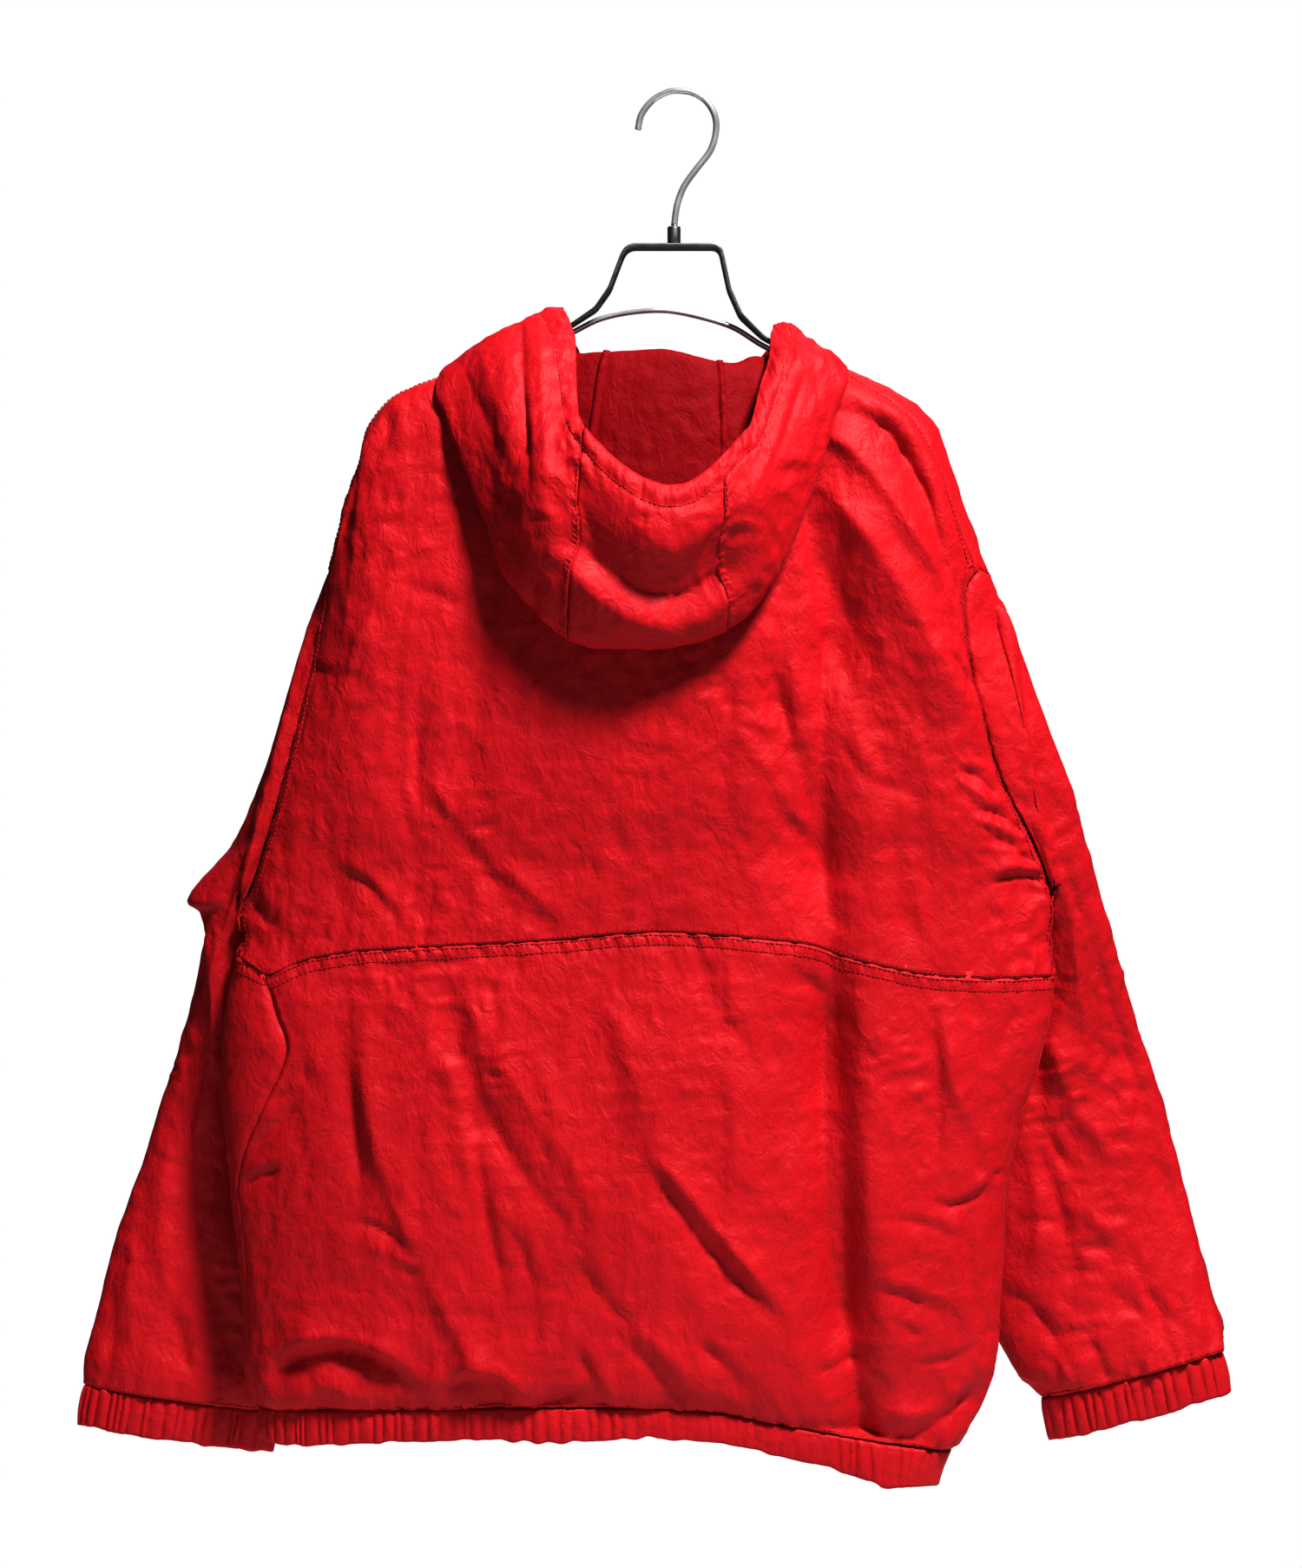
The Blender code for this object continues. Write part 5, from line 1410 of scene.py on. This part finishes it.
def hood(name, columns, seed, sewn_edges):
    """A panel of the hood with its gathered face edge, and which of its points lie inside."""
    points, old = resample(forms[name], HOOD_ROWS, 0)
    points, _ = resample(points, columns, 1)
    step = np.interp(old, range(len(HOOD_STEPS)), HOOD_STEPS)[:, None]
    outer = soft(2.9, 3.3, step)
    normals = facing(points)
    if (normals[..., 1] * (step > 3.5)).sum() > 0:      # the outer layer faces back
        normals = -normals
    from_edge = reach_from(points, "bottom")
    rough = crumple(points, seed, 0.5, 0.9) * (1.0 - 0.65 * soft(2.6, 0.8, step))
    high = HOOD_CREASES * creases(points, HOOD_FOLDS) * outer + rough
    high *= fade(points, {"top": 12, "bottom": 4})
    for edge in sewn_edges:
        high += pucker(points, edge, seed + len(edge), pitch=8, reach=12, high=1.0) * outer
    spot = np.stack([reach_from(points, "left"), from_edge * 0.15, 0 * from_edge], axis=-1)
    ripple = noise(spot, (3.6, 9, 9), seed + 6) + 0.5 * noise(spot, (1.7, 5, 5), seed + 7)
    high += ripple * (1.1 * hump(from_edge, 13, 8) + 0.7 * hump(from_edge, 3, 5))
    high += 1.5 * noise(points, (9, 12, 7), seed + 12) * hump(from_edge, 9, 9)
    x, z, size = KNOT
    knot = hump(points[..., 0], x, size) * hump(points[..., 2], z, size) * soft(40, 25, from_edge)
    high += knot * (2.0 + 3.2 * noise(points, (4.5, 6, 4.5), seed + 13))
    beside = np.abs(points[..., 0] - HOOD_MIDDLE)
    valley = soft(13, 72, from_edge) * soft(100, 80, from_edge) * soft(72, 40, beside)
    high -= VALLEY * valley * outer
    high += 1.3 * hump(from_edge, 7, 5.5)
    high -= 0.9 * hump(from_edge, EDGE_CASING, 2.0)
    points = points + normals * high[..., None]
    again = facing(points)
    normals = again * np.sign((normals * again).sum(axis=-1, keepdims=True))
    return points, normals, np.broadcast_to(step < INNER_LAYER, points.shape[:2])


def paint_hood_shade(thing, points, within):
    """The faces inside the hood get the half-dark cloth: painted shade for the hollow of the hood."""
    thing.data.materials.append(red_cloth_painted_hood_shade)
    places = KDTree(within.size)
    for number, point in enumerate(points.reshape(-1, 3)):
        places.insert(point * MM, number)
    places.balance()
    within = within.reshape(-1)
    for face in thing.data.polygons:
        # faces of the inner layer get the painted-shade material
        face.material_index = int(within[places.find(face.center)[1]])


for name, columns, seed, edges, tucked in (("hood_side_left", 116, 41, ("right",), ("left",)),
                                           ("hood_centre", 56, 43, ("left", "right"), ("left", "right")),
                                           ("hood_side_right", 116, 47, ("left",), ())):
    points, normals, within = hood(name, columns, seed, edges)
    # the hood's inside faces are given painted shade
    paint_hood_shade(sewn(name, points, normals, tucked, 1.0, 4.0), points, within)


# ---------------------------------------------------------------- laps and stitches
for name, owner, edge, near, far, seed, part in (
        ("back_seam_lap", "back_lower", "top", -0.6, 9.0, 71, (0, 1)),
        ("front_seam_lap", "front_lower", "top", -0.6, 9.0, 72, (0, 1)),
        ("shoulder_left_lap", "back_upper", "top", 0.3, 8.0, 77, (0.01, 0.27)),
        ("shoulder_right_lap", "back_upper", "top", 0.3, 8.0, 78, (0.61, 0.99)),
        ("armhole_left_lap", "back_upper", "left", 0.4, 9.0, 73, (0.06, 1)),
        ("armhole_right_lap", "back_upper", "right", 0.4, 9.0, 74, (0.06, 1)),
        ("hood_seam_left_lap", "hood_side_left", "right", 0.6, 7.0, 75, (0, 1)),
        ("hood_seam_right_lap", "hood_side_right", "left", 0.6, 7.0, 76, (0, 1))):
    lap(name, owner, edge, near, far, seed, part)
for name in ("back_seam_lap", "front_seam_lap", "armhole_left_lap", "armhole_right_lap", "shoulder_left_lap",
             "shoulder_right_lap"):
    stitches(name, "top", 1.7)
    stitches(name, "bottom", 1.7)
for name, edge, away in (("hood_seam_left_lap", "top", 1.4), ("hood_seam_right_lap", "top", 1.4),
                         ("back_lower", "bottom", 1.6), ("front_lower", "bottom", 1.6),
                         ("front_upper", "left", 2.2), ("front_upper", "right", 2.2),
                         ("back_upper", "bottom", 1.5), ("sleeve_left", "bottom", 2.0),
                         ("sleeve_right", "bottom", 2.0), ("hood_side_left", "bottom", EDGE_CASING),
                         ("hood_centre", "bottom", EDGE_CASING),
                         ("hood_side_right", "bottom", EDGE_CASING)):
    stitches(name, edge, away)
sew_all()


# ---------------------------------------------------------------- hanger
HOOK_R = 2.1          # radius of the hook's wire
HOOK = (              # x, z of the wire's middle line, from its tip round to the neck
    (-27.4, -23.4), (-25.0, -13.5), (-17.5, -4.0), (-7.5, 1.4), (0.0, 2.1), (9.5, 0.4), (18.5, -6.0),
    (23.6, -16.0), (23.6, -26.5), (20.0, -37.5), (10.5, -50.0), (2.8, -61.0), (-1.6, -73.0), (-3.6, -86.6))
COLLAR = (-3.7, -87.2, -98.6, 4.3)      # x, top, bottom, radius
STRIP_THICK = 2.5
STRIP_STEPS = 180
STRIP = (             # x, z, half depth of the bent strip's middle line, from one arm's end to the other
    (-190.0, -212.5, 7.0), (-150.0, -192.3, 7.0), (-110.0, -172.2, 6.0), (-84.0, -159.2, 4.5),
    (-71.5, -152.6, 5.5), (-55.0, -141.6, 9.0), (-46.0, -128.8, 11.0), (-37.6, -106.6, 11.0),
    (-35.2, -102.6, 11.0), (-31.0, -100.6, 11.0), (23.6, -100.6, 11.0), (27.0, -103.4, 11.0),
    (32.4, -128.8, 11.0), (40.0, -146.0, 11.0), (54.0, -159.6, 7.0), (68.0, -167.9, 4.5),
    (96.0, -182.2, 5.0), (124.0, -199.5, 5.0), (146.0, -213.0, 5.0))
ROD_R = 1.8
ROD = (               # x, z of the arched rod below the strip's mouth
    (-100.0, -170.9), (-86.0, -164.2), (-70.5, -156.8), (-52.0, -147.8), (-30.0, -143.2), (-8.5, -142.4),
    (13.0, -146.4), (35.0, -153.4), (54.0, -165.0), (68.0, -171.9), (80.0, -177.6))


def rod(name, path, radius):
    """A round wire along a path in millimetres, with rounded ends."""
    bm = bmesh.new()
    bmesh.ops.create_circle(bm, cap_ends=True, segments=24, radius=radius * MM)
    first = list(bm.verts)
    way = (path[1] - path[0]).normalized()
    turn = way.to_track_quat("Z", "Y").to_matrix().to_4x4()
    bmesh.ops.transform(bm, matrix=Matrix.Translation(path[0] * MM) @ turn, verts=first)
    ring, old = first, way
    for k in range(1, len(path)):
        before = path[k] - path[k - 1]
        after = path[min(k + 1, len(path) - 1)] - path[k]
        new = (before.normalized() + after.normalized()).normalized()
        side_edges = [e for e in bm.edges if e.verts[0] in ring and e.verts[1] in ring]
        grown = bmesh.ops.extrude_edge_only(bm, edges=side_edges)["geom"]
        fresh = [g for g in grown if isinstance(g, bmesh.types.BMVert)]
        bmesh.ops.translate(bm, verts=fresh, vec=before * MM)
        spin = old.rotation_difference(new).to_matrix()
        bmesh.ops.rotate(bm, verts=fresh, cent=path[k] * MM, matrix=spin)
        ring, old = fresh, new
    ends = [e for e in bm.edges if e.verts[0] in ring and e.verts[1] in ring]
    bmesh.ops.contextual_create(bm, geom=ends)
    bmesh.ops.recalc_face_normals(bm, faces=bm.faces[:])
    for face in bm.faces:
        face.smooth = len(face.verts) == 4
    return piece_from(bm, name, bright_wire)


for name, node, table, steps, radius in (("hook_wire", "hanger_hook", HOOK, 90, HOOK_R),
                                         ("arched_wire", "hanger_rod", ROD, 60, ROD_R)):
    line = Line([(x, 0, z) for x, z in table])
    stands_for(rod(name, [line(k / steps) for k in range(steps + 1)], radius), node)


def collar():
    """The short turned collar that holds the hook, with a rounded lip at each end."""
    x, top, bottom, radius = COLLAR
    bm = bmesh.new()
    place = Matrix.Translation(Vector((x, 0, (top + bottom) / 2)) * MM)
    bmesh.ops.create_cone(bm, cap_ends=True, segments=32, radius1=radius * MM, radius2=radius * MM,
                          depth=(top - bottom) * MM, matrix=place)
    rims = [e for e in bm.edges if abs(e.verts[0].co.z - e.verts[1].co.z) < 1e-6]
    bmesh.ops.bevel(bm, geom=rims, offset=0.8 * MM, offset_type="OFFSET", segments=3, profile=0.5,
                    affect="EDGES", material=-1)
    for face in bm.faces:
        face.smooth = len(face.verts) == 4
    return piece_from(bm, "hook_collar", dark_metal)


stands_for(collar(), "hanger_collar")


def strip():
    """The bent strip that carries the shoulders, with rounded corners and edges."""
    line = Line([(x, wide, z) for x, z, wide in STRIP], smooth=False)
    rows = []
    for k in range(STRIP_STEPS + 1):
        near = [line(k / STRIP_STEPS + s) for s in (-0.004, -0.002, 0, 0.002, 0.004)]
        here = sum(near, Vector()) / len(near)
        rows.append((here.x, here.z, here.y))
    bm = bmesh.new()
    bmesh.ops.create_grid(bm, x_segments=STRIP_STEPS, y_segments=1, size=1.0)
    for v in bm.verts:
        x, z, wide = rows[round((v.co.x + 1) / 2 * STRIP_STEPS)]
        v.co = Vector((x, math.copysign(wide, v.co.y), z)) * MM
    bmesh.ops.recalc_face_normals(bm, faces=bm.faces[:])
    for face in bm.faces:
        face.smooth = True
    thing = piece_from(bm, "hanger_bent_strip", dark_metal)
    wall = thing.modifiers.new("strip thickness", "SOLIDIFY")
    wall.thickness = STRIP_THICK * MM
    wall.offset = 0.0
    edge = thing.modifiers.new("soft edges", "BEVEL")
    edge.width = 0.5 * MM
    edge.segments = 2
    edge.limit_method = "ANGLE"
    edge.angle_limit = math.radians(50)
    return thing


stands_for(strip(), "hanger_strip")


# ---------------------------------------------------------------- each cloth piece's solid name, read but not used
for thing in soft_pieces:
    node = thing.name.removesuffix("_cloth")


# ---------------------------------------------------------------- studio
def studio():
    scene = bpy.context.scene
    scene.view_settings.view_transform = "Standard"
    scene.view_settings.gamma = 0.70
    scene.view_settings.exposure = -0.26
    lens = bpy.data.cameras.new("camera")
    lens.lens = 90.9
    lens.sensor_width = 36.0
    camera = bpy.data.objects.new("camera", lens)
    camera.location = (-0.0188, -2.6, -0.4532)
    camera.rotation_euler = (math.pi / 2, 0, 0)
    scene.collection.objects.link(camera)
    scene.camera = camera
    for name, place, size, power, tint in (
            ("soft light above right", (0.95, -1.42, 1.85), 0.6, 215.0, (1.0, 0.99, 0.98)),
            ("broad light at the left", (-0.6, -2.8, 0.0), 1.6, 4.0, (0.98, 0.98, 1.0)),
            ("light behind", (0.2, 1.8, 1.2), 1.6, 12.0, (1.0, 1.0, 1.0))):
        light = bpy.data.lights.new(name, "AREA")
        light.shape = "DISK"
        light.size = size
        light.energy = power
        light.color = tint
        lamp = bpy.data.objects.new(name, light)
        lamp.location = place
        aim = Vector((0, 0, -0.5)) - Vector(place)
        lamp.rotation_euler = aim.to_track_quat("-Z", "Y").to_euler()
        scene.collection.objects.link(lamp)
    world = bpy.data.worlds.new("pale studio")
    world.use_nodes = True
    tree = world.node_tree
    seen = tree.nodes.new("ShaderNodeLightPath").outputs["Is Camera Ray"]
    plain = tree.nodes["Background"]
    plain.inputs["Color"].default_value = (1.0, 1.0, 1.0, 1)
    plain.inputs["Strength"].default_value = 0.07
    bright = tree.nodes.new("ShaderNodeBackground")
    bright.inputs["Color"].default_value = (1.0, 1.0, 1.0, 1)
    bright.inputs["Strength"].default_value = 1.2
    either = tree.nodes.new("ShaderNodeMixShader")
    tree.links.new(seen, either.inputs["Fac"])
    tree.links.new(plain.outputs[0], either.inputs[1])
    tree.links.new(bright.outputs[0], either.inputs[2])
    tree.links.new(either.outputs[0], tree.nodes["World Output"].inputs["Surface"])
    scene.world = world
    bm = bmesh.new()
    bmesh.ops.create_grid(bm, x_segments=1, y_segments=1, size=1.3, matrix=Matrix.Translation((0, 0, -1.25)))
    f = Finish("pale floor", Base_Color=(0.85, 0.85, 0.86, 1), Roughness=0.9)
    floor = piece_from(bm, "pale_floor", f.material)


studio()
